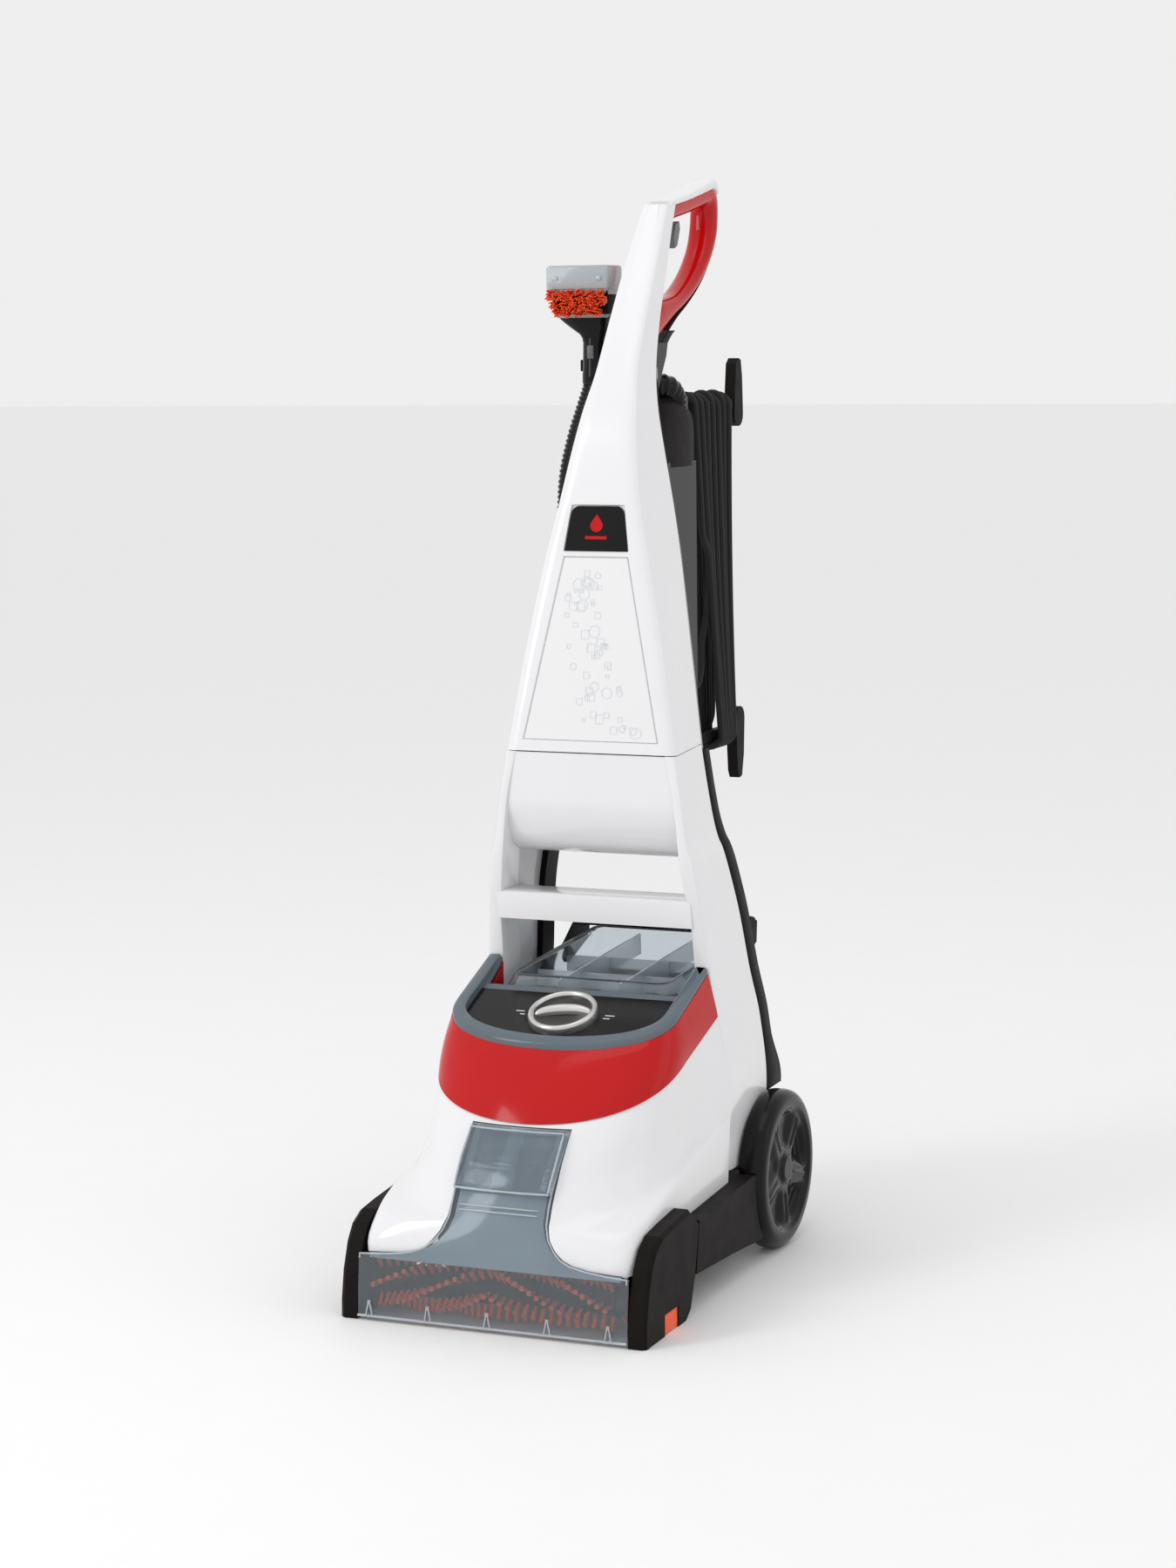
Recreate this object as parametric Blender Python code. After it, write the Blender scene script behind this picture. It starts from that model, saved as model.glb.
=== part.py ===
"""Upright carpet washer: nozzle foot, tank, leaning handle frame, accessory hose and wound power cord.

Metres, +Z up, the nozzle faces -Y, +X is the machine's left seen from the operator.
The origin is on the floor at the middle of the machine's footprint.
"""

import math

import bmesh
import bpy
from mathutils import Matrix, Vector

# ---- driving dimensions -------------------------------------------------
HALF_DEPTH = 0.3465  # nozzle lip to cord hook, halved
HALF_WIDTH = 0.1630  # outer faces of the wheels
FOOT_HALF = 0.1585  # outer faces of the nozzle end caps
CAP_THICK = 0.0180
TOP = 1.1000
GAP = 0.0003  # between touching pieces
RUN = 0.00005  # radial clearance of a shaft in its bore
WALL = 0.0030

AXLE_Y = 0.0460
WHEEL_R = 0.0820
WHEEL_W = 0.0270
AXLE_R = 0.0060
PEDAL_X = 0.0450
PEDAL_Y = 0.1560
PEDAL_PIN = 0.0040
AXLE_Z = WHEEL_R

BRUSH_Y = -0.3060
BRUSH_Z = 0.0320
BRUSH_R = 0.0290
BRUSH_CORE_R = 0.0150
BRUSH_HALF = 0.1330
BRUSH_PIN_R = 0.0040
MOTOR_Y = -0.2250
MOTOR_Z = 0.0520
BELT_X = 0.1230
PULLEY_R = 0.0090

SEAM_SLOPE = 0.3900  # rise per metre of the sloping seams of the hood
HOOD_HALF = 0.1250
HOOD_BACK = -0.1085
WING_BACK = -0.0745  # the hood's two wings end just in front of the legs
NOTCH_HALF = 0.1030  # half width of the notch that clears the tank
HOOD_MID = -0.1500  # where the round front meets the straight sides
HOOD_ARC = 15
DECK_Y = -0.1600
KNOB_R = 0.0345
KNOB_H = 0.0120

TANK_HALF = 0.0965
TANK_FRONT = -0.1050
TANK_BACK = 0.1370
TANK_FLOOR = 0.1083
TANK_TOP = 0.2620
BAIL_Y = 0.0700
BAIL_Z = 0.2900

SEAM_Z = 0.5235  # joint between the upper and the lower frame moulding
BAR_Z = 0.3500  # underside of the frame's crossbar
BAR_H = 0.0290
OPEN_Z = 0.4160  # top of the opening above the crossbar

SPINE_BACK = 0.1640  # rear face of the backbone that carries the cord hooks
COVER_DEPTH = 0.0130
STRIP_W = 0.0150  # width of the strip behind each leg, which clears the tank's bail
COVER_TOP = 0.9200
HOSE_PORT_Z = 0.8050  # open top of the backbone, where the hose goes in
HOOK_TOP_Z = 0.8600
HOOK_LOW_Z = 0.5030
HOOK_HALF = 0.0060

GRIP_HALF = 0.0140
HOSE_R = 0.0155
CORD_D = 0.0076
TOOL_X = -0.0870
TOOL_Y = 0.1180


# ---- helpers ------------------------------------------------------------
def clear_scene():
    for obj in list(bpy.data.objects):
        bpy.data.objects.remove(obj, do_unlink=True)


MATERIALS = {}


def material(name, colour, rough=0.4, metal=0.0, alpha=1.0):
    if name in MATERIALS:
        return MATERIALS[name]
    mat = bpy.data.materials.new(name)
    mat.use_nodes = True
    node = mat.node_tree.nodes["Principled BSDF"]
    node.inputs["Base Color"].default_value = (*colour, 1.0)
    node.inputs["Roughness"].default_value = rough
    node.inputs["Metallic"].default_value = metal
    node.inputs["Alpha"].default_value = alpha
    mat.diffuse_color = (*colour, alpha)
    MATERIALS[name] = mat
    return mat


def white():
    return material("white_gloss", (0.83, 0.83, 0.84), 0.18)


def black():
    return material("black_plastic", (0.018, 0.016, 0.015), 0.35)


def red():
    return material("red_gloss", (0.55, 0.012, 0.012), 0.15)


def smoke():
    return material("smoke_clear", (0.20, 0.26, 0.30), 0.12, 0.0, 0.55)


def bristle():
    return material("bristle_red", (0.90, 0.08, 0.02), 0.6)


def steel():
    return material("steel", (0.55, 0.55, 0.55), 0.25, 1.0)


def finish(bm, name, mat):
    bmesh.ops.remove_doubles(bm, verts=bm.verts, dist=1e-6)
    bmesh.ops.recalc_face_normals(bm, faces=bm.faces)
    mesh = bpy.data.meshes.new(name)
    bm.to_mesh(mesh)
    bm.free()
    obj = bpy.data.objects.new(name, mesh)
    bpy.context.scene.collection.objects.link(obj)
    mesh.materials.append(mat)
    return obj


def loft(name, rings, mat, capped=True, looped=False):
    """A closed solid through equal rings of points; capped at both ends or joined end to start."""
    bm = bmesh.new()
    rows = [[bm.verts.new(p) for p in ring] for ring in rings]
    count = len(rows[0])
    pairs = list(zip(rows, rows[1:]))
    if looped:
        pairs.append((rows[-1], rows[0]))
    for low, high in pairs:
        for i in range(count):
            j = (i + 1) % count
            bm.faces.new((low[i], low[j], high[j], high[i]))
    if capped and not looped:
        bm.faces.new(rows[0][::-1])
        bm.faces.new(rows[-1])
    return finish(bm, name, mat)


def box(name, low, high, mat, bevel=0.0, segments=2):
    bm = bmesh.new()
    size = [h - l for l, h in zip(low, high)]
    mid = [(h + l) / 2 for l, h in zip(low, high)]
    bmesh.ops.create_cube(bm, size=1.0, matrix=Matrix.Translation(mid) @ Matrix.Diagonal((*size, 1.0)))
    if bevel:
        bmesh.ops.bevel(
            bm, geom=bm.edges[:], offset=bevel, segments=segments, affect="EDGES", profile=0.5,
        )
    return finish(bm, name, mat)


def plate(name, outline, axis, low, high, mat):
    """A prism: outline is (a, b) pairs in the two axes other than `axis`, in X, Y, Z order."""
    rings = []
    for level in (low, high):
        if axis == "x":
            rings.append([(level, a, b) for a, b in outline])
        elif axis == "y":
            rings.append([(a, level, b) for a, b in outline])
        else:
            rings.append([(a, b, level) for a, b in outline])
    return loft(name, rings, mat)


def circle(radius, count=32, start=0.0):
    step = 2 * math.pi / count
    return [
        (radius * math.cos(start + i * step), radius * math.sin(start + i * step))
        for i in range(count)
    ]


def rod(name, axis, centre, radius, low, high, mat, count=32):
    """A round bar along an axis; centre gives its place on the other two axes."""
    ring = [(centre[0] + a, centre[1] + b) for a, b in circle(radius, count)]
    return plate(name, ring, axis, low, high, mat)


def tube(name, axis, centre, outer, inner, low, high, mat, count=32):
    rings = []
    for radius, level in ((outer, low), (outer, high), (inner, high), (inner, low)):
        ring = [(centre[0] + a, centre[1] + b) for a, b in circle(radius, count)]
        if axis == "x":
            rings.append([(level, a, b) for a, b in ring])
        elif axis == "y":
            rings.append([(a, level, b) for a, b in ring])
        else:
            rings.append([(a, b, level) for a, b in ring])
    return loft(name, rings, mat, looped=True)


def combine(obj, other, operation):
    """Keeps a Boolean with a helper solid, which is hidden from the render."""
    other.hide_render = True
    other.display_type = "WIRE"
    mod = obj.modifiers.new(operation.lower() + "_" + other.name, "BOOLEAN")
    mod.operation = operation
    mod.solver = "EXACT"
    mod.object = other
    return obj


def cut(obj, *others):
    for other in others:
        combine(obj, other, "DIFFERENCE")
    return obj


def join(obj, *others):
    for other in others:
        combine(obj, other, "UNION")
    return obj


def pivot(obj, place):
    """Puts the object's origin on its joint axis without moving its shape."""
    obj.data.transform(Matrix.Translation(-Vector(place)))
    obj.location = place
    return obj


def mix(a, b, t):
    return a + (b - a) * t


def along(table, z):
    """Straight-line lookup in rows that start with the height."""
    rows = sorted(table)
    if z <= rows[0][0]:
        return rows[0][1:]
    for low, high in zip(rows, rows[1:]):
        if z <= high[0]:
            t = (z - low[0]) / (high[0] - low[0])
            return [mix(a, b, t) for a, b in zip(low[1:], high[1:])]
    return rows[-1][1:]


def sweep_tube(name, points, radius, mat, sides=16, ribs=0.0, taper=None):
    """A round bar along points, closed at both ends; ribs alternates the radius."""
    path = [Vector(p) for p in points]
    rings = []
    side = Vector((0.0, 1.0, 0.0))
    for i, here in enumerate(path):
        ahead = path[min(i + 1, len(path) - 1)] - path[max(i - 1, 0)]
        ahead.normalize()
        side = (side - ahead * side.dot(ahead)).normalized()
        up = ahead.cross(side)
        r = radius + (ribs if i % 2 else -ribs)
        if taper:
            r = radius * taper(i / (len(path) - 1))
        rings.append([here + side * (r * a) + up * (r * b) for a, b in circle(1.0, sides)])
    return loft(name, rings, mat)


def smooth_path(points, step):
    """Even points along a Catmull-Rom curve through the given ones."""
    path = [Vector(p) for p in points]
    path = [path[0] * 2 - path[1], *path, path[-1] * 2 - path[-2]]
    fine = []
    for p0, p1, p2, p3 in zip(path, path[1:], path[2:], path[3:]):
        for k in range(24):
            t = k / 24
            a = p1 * 2 + (p2 - p0) * t
            b = (p0 * 2 - p1 * 5 + p2 * 4 - p3) * t * t
            c = (p1 * 3 - p0 - p2 * 3 + p3) * t * t * t
            fine.append((a + b + c) * 0.5)
    fine.append(path[-2])
    out = [fine[0]]
    run = 0.0
    for a, b in zip(fine, fine[1:]):
        run += (b - a).length
        if run >= step:
            out.append(b)
            run = 0.0
    if (out[-1] - fine[-1]).length > step * 0.3:
        out.append(fine[-1])
    return out


# ---- foot ---------------------------------------------------------------
def base_tray():
    """Black chassis: floor behind the brush, side walls, axle bosses and the tank's shelf."""
    outline = [
        (-0.2620, 0.0140), (-0.1000, 0.0180), (0.0200, 0.0450), (0.0460, 0.0560), (0.1050, 0.0600),
        (0.1700, 0.0720),
        (0.1720, 0.0850), (0.1360, 0.0880), (0.1320, 0.1080), (-0.1040, 0.1080), (-0.1040, 0.0260),
        (-0.2620, 0.0220),
    ]
    half = 0.1020
    tray = plate("base_tray", outline, "x", -half, half, black())
    bore = rod("cut_axle", "x", (AXLE_Y, AXLE_Z), AXLE_R + GAP, -0.2, 0.2, black(), 24)
    cut(tray, bore)
    for side in (-1, 1):
        cut(
            tray,
            rod(
                "cut_pedal_%d" % side, "z", (side * PEDAL_X, PEDAL_Y), PEDAL_PIN + RUN, 0.0600,
                0.1000, black(), 20,
            ),
        )
    return tray


def side_rail(name, side):
    """Black lower side of the foot, from the nozzle's end cap back to the wheel arch."""
    clear = WHEEL_R + 0.0035
    arch = []
    for degrees in (136, 148, 160, 172, 184, 196, 208, 220):
        angle = math.radians(degrees)
        arch.append((AXLE_Y + clear * math.cos(angle), AXLE_Z + clear * math.sin(angle)))
    arch = [p for p in arch if 0.0260 < p[1] < 0.0940]
    outline = [(-0.2000, 0.0880), (-0.2090, 0.0372), (-0.0900, 0.0300), (-0.0220, 0.0245)]
    outline += arch[::-1] + [(-0.0440, 0.0960)]
    rail = plate(name, outline, "x", *sorted((side * 0.1372, side * 0.1572)), black())
    low, high = sorted((side * 0.1023, side * 0.1400))
    return join(rail, box(name + "_floor", (low, -0.1900, 0.0360), (high, -0.0400, 0.0500), black()))


def end_cap(name, side):
    outline = [
        (-0.3460, 0.0000), (-0.3455, 0.0150), (-0.3400, 0.0450), (-0.3300, 0.0720),
        (-0.3180, 0.0880), (-0.3000, 0.0970), (-0.2700, 0.1010), (-0.2250, 0.1050),
        (-0.2020, 0.0880), (-0.2140, 0.0375), (-0.2260, 0.0060), (-0.2400, 0.0000),
    ]
    outer = side * FOOT_HALF
    inner = side * (FOOT_HALF - CAP_THICK)
    mid = side * (FOOT_HALF - 0.004)
    centre = (-0.275, 0.050)
    shrunk = [
        (centre[0] + (y - centre[0]) * 0.955, z if z < 0.002 else mix(centre[1], z, 0.94))
        for y, z in outline
    ]
    rings = [
        [(inner, y, z) for y, z in outline], [(mid, y, z) for y, z in outline],
        [(outer, y, z) for y, z in shrunk],
    ]
    cap = loft(name, rings, black())
    hole = rod(
        "cut_pin_" + name, "x", (BRUSH_Y, BRUSH_Z), BRUSH_PIN_R + RUN,
        *sorted((side * 0.1390, side * 0.1490)), black(), 24
    )
    slot = box("cut_edge_" + name, *edge_box(side, 0.0003, -0.01), black())
    return cut(cap, hole, slot)


def edge_box(side, grow, low):
    inner, outer = side * (0.1475 - grow), side * (0.1575 + grow * 40)
    return (
        (min(inner, outer), -0.2960 - grow, low),
        (max(inner, outer), -0.2620 + grow, 0.0200 + grow),
    )


def edge_brush(name, side):
    inner, outer = side * 0.1475, side * 0.1575
    return box(
        name, (min(inner, outer), -0.2960, 0.0010), (max(inner, outer), -0.2620, 0.0200), bristle(),
    )


def hood_ring(station, inset=0.0, lift=0.0, wings=True):
    """Half-round front, sides that flare to the rear, and a notch for the tank between two wings.

    The ring lies on a slope that rises to the rear; inset moves it in along that slope.
    """
    front, half, z_front, slope, flare = station
    half -= inset
    back = HOOD_BACK - inset
    wing_back = WING_BACK - inset if wings else back
    ring = [(half + flare, wing_back)]
    for i in range(HOOD_ARC):
        angle = math.pi * i / (HOOD_ARC - 1)
        bulge = math.sin(angle) ** 0.80 if 0 < i < HOOD_ARC - 1 else 0.0
        ring.append((half * math.cos(angle), HOOD_MID - (HOOD_MID - front - inset) * bulge))
    ring.append((-half - flare, wing_back))
    notch = NOTCH_HALF + inset if wings else NOTCH_HALF - inset
    inner = notch if wings else notch - 0.0100
    ring += [(-notch, wing_back), (-inner, back), (inner, back), (notch, wing_back)]
    return [(x, y, z_front + slope * (y - front) + lift) for x, y in ring]


HOOD_STATIONS = [  # front y, half width, height at the front, slope, flare at the rear
    (-0.3400, 0.1360, 0.0640, 0.0, 0.0),
    (-0.3360, 0.1310, 0.0950, 0.0, 0.0050),
    (-0.3240, 0.1270, 0.1200, 0.08, 0.0200),
    (-0.3020, 0.1255, 0.1520, 0.22, 0.0130),
    (-0.2680, HOOD_HALF, 0.1860, SEAM_SLOPE, 0.0040),
]
BAND_STATIONS = [
    (-0.2690, HOOD_HALF + 0.0010, 0.1864, SEAM_SLOPE, 0.0040),
    (-0.2560, HOOD_HALF + 0.0010, 0.2050, SEAM_SLOPE, 0.0010),
    (-0.2380, HOOD_HALF - 0.0010, 0.2270, SEAM_SLOPE, 0.0),
    (-0.2180, HOOD_HALF - 0.0050, 0.2480, SEAM_SLOPE, 0.0),
]


def foot_hood():
    """White cover over the motors, with the wide nozzle top in front and an opening for the window."""
    outer = [hood_ring(station) for station in HOOD_STATIONS]
    hood = loft("foot_hood", outer, white())
    # the nozzle's white top runs across the full width in front of the tower
    profile = [
        (-0.2240, 0.0640), (-0.3375, 0.0640), (-0.3355, 0.0780), (-0.3240, 0.0900), (-0.3050, 0.0960),
        (-0.2240, 0.1000),
    ]
    reach = FOOT_HALF - CAP_THICK - GAP
    top = plate("nozzle_top", profile, "x", -reach, reach, white())
    hollow = [hood_ring(station, WALL) for station in HOOD_STATIONS]
    hollow[0] = [(x, y, 0.0500) for x, y, z in hollow[0]]
    hollow[-1] = [(x, y, z + 0.0200) for x, y, z in hollow[-1]]
    inside = loft("cut_tower", hollow, white())
    line = [
        (-0.2200, 0.0500), (-0.3600, 0.0500), (-0.3600, 0.0768), (-0.3343, 0.0768),
        (-0.3225, 0.0870), (-0.3040, 0.0928), (-0.2200, 0.0966),
    ]
    under = plate("cut_nozzle", line, "x", -reach - 0.0100, reach + 0.0100, white())
    half = WINDOW_NECK + GAP
    neck = box("cut_window", (-half, -0.3700, 0.0400), (half, -0.2350, 0.2300), white())
    join(hood, top)
    cut(hood, neck, inside, under)
    return hood


WINDOW_NECK = 0.0520
WINDOW_FOOT = 0.1398
WINDOW_LINE = [  # height, front y
    (0.0030, -HALF_DEPTH), (0.0200, -0.3462), (0.0450, -0.3440), (0.0700, -0.3410), (0.0950, -0.3370),
    (0.1200, -0.3255), (0.1450, -0.3090), (0.1650, -0.2920), (0.1820, -0.2745),
]


def nozzle_window():
    """Clear T-shaped cover over the brush and the suction channel."""
    thick = 0.0028
    levels = []
    for z, y in WINDOW_LINE:
        if z <= 0.0720:
            half = WINDOW_FOOT
        else:
            half = WINDOW_NECK - GAP
        levels.append((z, y, half))
    levels.insert(4, (0.0760, -0.3402, WINDOW_FOOT))
    levels.insert(5, (0.0768, -0.3400, 0.0900))
    levels.insert(6, (0.0835, -0.3390, WINDOW_NECK + 0.0110))
    rings = []
    for z, y, half in levels:
        span = [half * (k / 8 - 1) for k in range(17)]
        bow = 0.55 if z > 0.09 else 0.0
        front = [(x, y + bow * x * x, z) for x in span]
        back = [(x, y + bow * x * x + thick, z) for x in reversed(span)]
        rings.append(front + back)
    return loft("nozzle_window", rings, smoke())


def window_latch():
    """Raised clear block that clips the window's neck under the coloured band."""
    rings = []
    for z, y in (
        (0.1300, -0.3190), (0.1380, -0.3140), (0.1600, -0.2965), (0.1800, -0.2765),
        (0.1830, -0.2730),
    ):
        half = 0.0500
        grow = 0.0045 if 0.1350 < z < 0.1820 else 0.0020
        span = [half * (k / 6 - 1) for k in range(13)]
        front = [(x, y + 0.55 * x * x - grow - 0.0006 - 0.0045, z) for x in span]
        back = [(x, y + 0.55 * x * x - 0.0045, z) for x in reversed(span)]
        rings.append(front + back)
    return loft("window_latch", rings, smoke())


def red_band():
    """Sloping coloured collar round the deck, joined to the hood along the lower seam."""
    outer = [hood_ring(station) for station in BAND_STATIONS]
    inner = [hood_ring(station, WALL) for station in BAND_STATIONS]
    return loft("red_band", outer + inner[::-1], red(), looped=True)


def control_deck():
    """Smoke-tinted sloping panel inside the band, with a raised rim."""
    station = BAND_STATIONS[-1]
    fit = WALL + GAP
    rim_low = hood_ring(station, fit, -0.0150)
    wall_low = hood_ring(station, fit, 0.0004)
    rim_top = hood_ring(station, 0.0015, 0.0004)
    crest = hood_ring(station, 0.0015, 0.0039)
    rim_in = hood_ring(station, 0.0130, 0.0025, wings=False)
    floor = hood_ring(station, 0.0160, -0.0030, wings=False)
    return loft("control_deck", [rim_low, wall_low, rim_top, crest, rim_in, floor], smoke())


def deck_frame(x, y, lift):
    """A point on the sloping deck, lifted square to it."""
    front, _, z, slope, _ = BAND_STATIONS[-1]
    tilt = math.atan(slope)
    surface = z + slope * (y - front) - 0.0030
    return Vector((x, y - lift * math.sin(tilt), surface + lift * math.cos(tilt)))


def selector_knob():
    tilt = Matrix.Rotation(math.atan(SEAM_SLOPE), 4, "X")
    place = deck_frame(0.0, DECK_Y, 0.0004)
    rings = []
    for radius, height in (
        (KNOB_R, 0.0), (KNOB_R, KNOB_H * 0.6), (KNOB_R - 0.002, KNOB_H),
        (KNOB_R - 0.006, KNOB_H + 0.0005),
    ):
        rings.append([tilt @ Vector((a, b, height)) for a, b in circle(radius, 40)])
    knob = loft("selector_knob", rings, material("silver_knob", (0.55, 0.53, 0.51), 0.3, 0.9))
    knob.location = place
    ridge = box(
        "knob_ridge", (-0.0300, -0.0070, KNOB_H * 0.5), (0.0300, 0.0070, KNOB_H + 0.0080), white(),
        0.003,
    )
    ridge.data.transform(tilt @ Matrix.Rotation(math.radians(28), 4, "Z"))
    ridge.location = place
    return join(knob, ridge)


def brush_core():
    roll = rod(
        "brush_core", "x", (BRUSH_Y, BRUSH_Z), BRUSH_CORE_R, -BRUSH_HALF, BRUSH_HALF, black(), 24,
    )
    pin = rod("brush_pin", "x", (BRUSH_Y, BRUSH_Z), BRUSH_PIN_R, -0.1480, 0.1480, black(), 20)
    groove = tube(
        "cut_belt_groove", "x", (BRUSH_Y, BRUSH_Z), 0.03, BRUSH_CORE_R - 0.003, BELT_X - 0.006,
        BELT_X + 0.006, black(), 24,
    )
    join(roll, pin)
    cut(roll, groove)
    return pivot(roll, (0.0, BRUSH_Y, BRUSH_Z))


def brush_bristles():
    """Six helical rows of tufts, as one twisted sleeve round the core; one full twist end to end."""
    start, end, steps, count = -0.1310, 0.1130, 28, 36
    rings = []
    for k in range(steps + 1):
        twist = 2 * math.pi * k / steps
        ring = []
        for i, (a, b) in enumerate(circle(1.0, count, twist)):
            radius = BRUSH_R if i % 6 == 0 else BRUSH_CORE_R + 0.0030
            ring.append((mix(start, end, k / steps), BRUSH_Y + radius * a, BRUSH_Z + radius * b))
        rings.append(ring)
    bore = BRUSH_CORE_R + GAP
    for x in (end, start):
        rings.append([(x, BRUSH_Y + bore * a, BRUSH_Z + bore * b) for a, b in circle(1.0, count)])
    obj = loft("brush_bristles", rings, bristle(), looped=True)
    return pivot(obj, (0.0, BRUSH_Y, BRUSH_Z))


def drive_belt():
    """Flat loop from the motor pulley to the groove of the brush."""
    a = Vector((BRUSH_Y, BRUSH_Z))
    b = Vector((MOTOR_Y, MOTOR_Z))
    rings = []
    for grow in (GAP, 0.0022):
        ra, rb = BRUSH_CORE_R - 0.003 + grow, PULLEY_R + grow
        heading = math.atan2(b[1] - a[1], b[0] - a[0])
        lean = math.acos((ra - rb) / (b - a).length)
        ring = []
        for k in range(17):
            angle = heading + lean + (2 * math.pi - 2 * lean) * k / 16
            ring.append((a[0] + ra * math.cos(angle), a[1] + ra * math.sin(angle)))
        for k in range(13):
            angle = heading - lean + 2 * lean * k / 12
            ring.append((b[0] + rb * math.cos(angle), b[1] + rb * math.sin(angle)))
        rings.append(ring)
    inner, outer = rings
    low, high = BELT_X - 0.0050, BELT_X + 0.0050
    solid = [
        [(low, y, z) for y, z in outer], [(high, y, z) for y, z in outer],
        [(high, y, z) for y, z in inner], [(low, y, z) for y, z in inner],
    ]
    return loft("drive_belt", solid, material("belt_rubber", (0.02, 0.02, 0.02), 0.7), looped=True)


def motor_pulley():
    wheel = rod(
        "motor_pulley", "x", (MOTOR_Y, MOTOR_Z), PULLEY_R, BELT_X - 0.0070, BELT_X + 0.0070,
        steel(), 24,
    )
    shaft = rod("motor_shaft", "x", (MOTOR_Y, MOTOR_Z), 0.0030, 0.0850, BELT_X, steel(), 32)
    join(wheel, shaft)
    return pivot(wheel, (0.0, MOTOR_Y, MOTOR_Z))


def brush_motor():
    can = rod("brush_motor", "x", (MOTOR_Y, MOTOR_Z), 0.0240, 0.0100, 0.0950, steel(), 28)
    hole = rod("cut_motor", "x", (MOTOR_Y, MOTOR_Z), 0.0030 + RUN, 0.0800, 0.1100, steel(), 32)
    return cut(can, hole)


def vacuum_motor():
    rings = []
    for radius, z in (
        (0.0420, 0.0800), (0.0480, 0.0850), (0.0480, 0.1150), (0.0360, 0.1200), (0.0360, 0.1650),
        (0.0300, 0.1720),
    ):
        rings.append([(-0.0300 + a, -0.1650 + b, z) for a, b in circle(radius, 32)])
    return loft("vacuum_motor", rings, material("motor_grey", (0.15, 0.15, 0.16), 0.5))


def water_pump():
    return box(
        "water_pump", (0.0450, -0.1900, 0.0800), (0.0950, -0.1250, 0.1200),
        material("pump_grey", (0.3, 0.3, 0.32), 0.5), 0.004,
    )


def suction_duct():
    """Duct behind the window's neck, open at the nozzle and at the top."""
    stations = [(-0.3280, 0.0860), (-0.3190, 0.1150), (-0.3000, 0.1450), (-0.2700, 0.1740)]
    rings = []
    for y, z in stations:
        rings.append(
            [
                (-0.0460, y, z), (0.0460, y, z), (0.0460, y + 0.0260, z + 0.0060),
                (-0.0460, y + 0.0260, z + 0.0060),
            ],
        )
    outer = loft("suction_duct", rings, material("duct_grey", (0.10, 0.13, 0.15), 0.35))
    inner = []
    for i, (y, z) in enumerate(stations):
        shift = (-0.004, 0, 0, 0.004)[i]
        inner.append(
            [
                (-0.0435, y + 0.0025, z + shift), (0.0435, y + 0.0025, z + shift),
                (0.0435, y + 0.0235, z + 0.0055 + shift), (-0.0435, y + 0.0235, z + 0.0055 + shift),
            ],
        )
    return cut(outer, loft("cut_duct", inner, black()))


def axle():
    half = HALF_WIDTH - 0.0030
    return rod("axle", "x", (AXLE_Y, AXLE_Z), AXLE_R, -half, half, steel(), 32)


def wheel(name, side):
    """Dished wheel with five broad spokes and a plain round tread."""
    outer = side * HALF_WIDTH
    inner = side * (HALF_WIDTH - WHEEL_W)
    rows = [
        (AXLE_R + RUN, inner), (0.0180, inner), (0.0780, inner), (WHEEL_R, inner + side * 0.0040),
        (WHEEL_R, outer - side * 0.0040), (0.0790, outer), (0.0690, outer),
        (0.0660, outer - side * 0.0030),
        (0.0200, outer - side * 0.0030), (0.0180, outer - side * 0.0005),
        (0.0060 + RUN, outer - side * 0.0005),
    ]
    rings = []
    for radius, x in rows:
        rings.append([(x, AXLE_Y + a, AXLE_Z + b) for a, b in circle(radius, 64)])
    obj = loft(name, rings, black(), looped=True)
    for k in range(5):
        start = math.radians(90 + 72 * k + 14)
        stop = math.radians(90 + 72 * (k + 1) - 14)
        ring = []
        for t in range(7):
            angle = mix(start, stop, t / 6)
            ring.append((AXLE_Y + 0.0620 * math.cos(angle), AXLE_Z + 0.0620 * math.sin(angle)))
        for t in range(4):
            angle = mix(stop - 0.12, start + 0.12, t / 3)
            ring.append((AXLE_Y + 0.0290 * math.cos(angle), AXLE_Z + 0.0290 * math.sin(angle)))
        low, high = sorted((outer - side * 0.0130, outer + side * 0.002))
        cut(obj, plate("cut_%s_%d" % (name, k), ring, "x", low, high, black()))
    return pivot(obj, (0.0, AXLE_Y, AXLE_Z))


def pedal(name, side, colour):
    """Foot switch on the rear shelf, on a guide pin."""
    pad = box(
        name, (side * PEDAL_X - 0.0220, 0.1420, 0.0945), (side * PEDAL_X + 0.0220, 0.1700, 0.1010),
        colour, 0.0015,
    )
    return join(
        pad,
        rod(name + "_pin", "z", (side * PEDAL_X, PEDAL_Y), PEDAL_PIN, 0.0800, 0.0960, colour, 20),
    )


# ---- tank ---------------------------------------------------------------
def tank_plan(grow, z):
    half = TANK_HALF + grow
    front, back = TANK_FRONT - grow, TANK_BACK + grow
    r = 0.018 + grow
    ring = []
    for cx, cy, start in (
        (half - r, front + r, -90), (half - r, back - r, 0), (-half + r, back - r, 90),
        (-half + r, front + r, 180),
    ):
        for k in range(5):
            angle = math.radians(start + 22.5 * k)
            ring.append((cx + r * math.cos(angle), cy + r * math.sin(angle), z))
    return ring


def tank_shell():
    rings = [
        tank_plan(-0.0080, TANK_FLOOR), tank_plan(-0.0040, TANK_FLOOR + 0.02),
        tank_plan(-0.0010, TANK_TOP - 0.006),
    ]
    rings += [tank_plan(0.0, TANK_TOP - 0.005), tank_plan(0.0, TANK_TOP)]
    inner = [
        tank_plan(-0.0035, TANK_TOP), tank_plan(-0.0040, TANK_TOP - 0.006),
        tank_plan(-0.0070, TANK_FLOOR + 0.02), tank_plan(-0.0110, TANK_FLOOR + 0.003),
    ]
    return loft("tank_shell", rings + inner, smoke())


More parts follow.
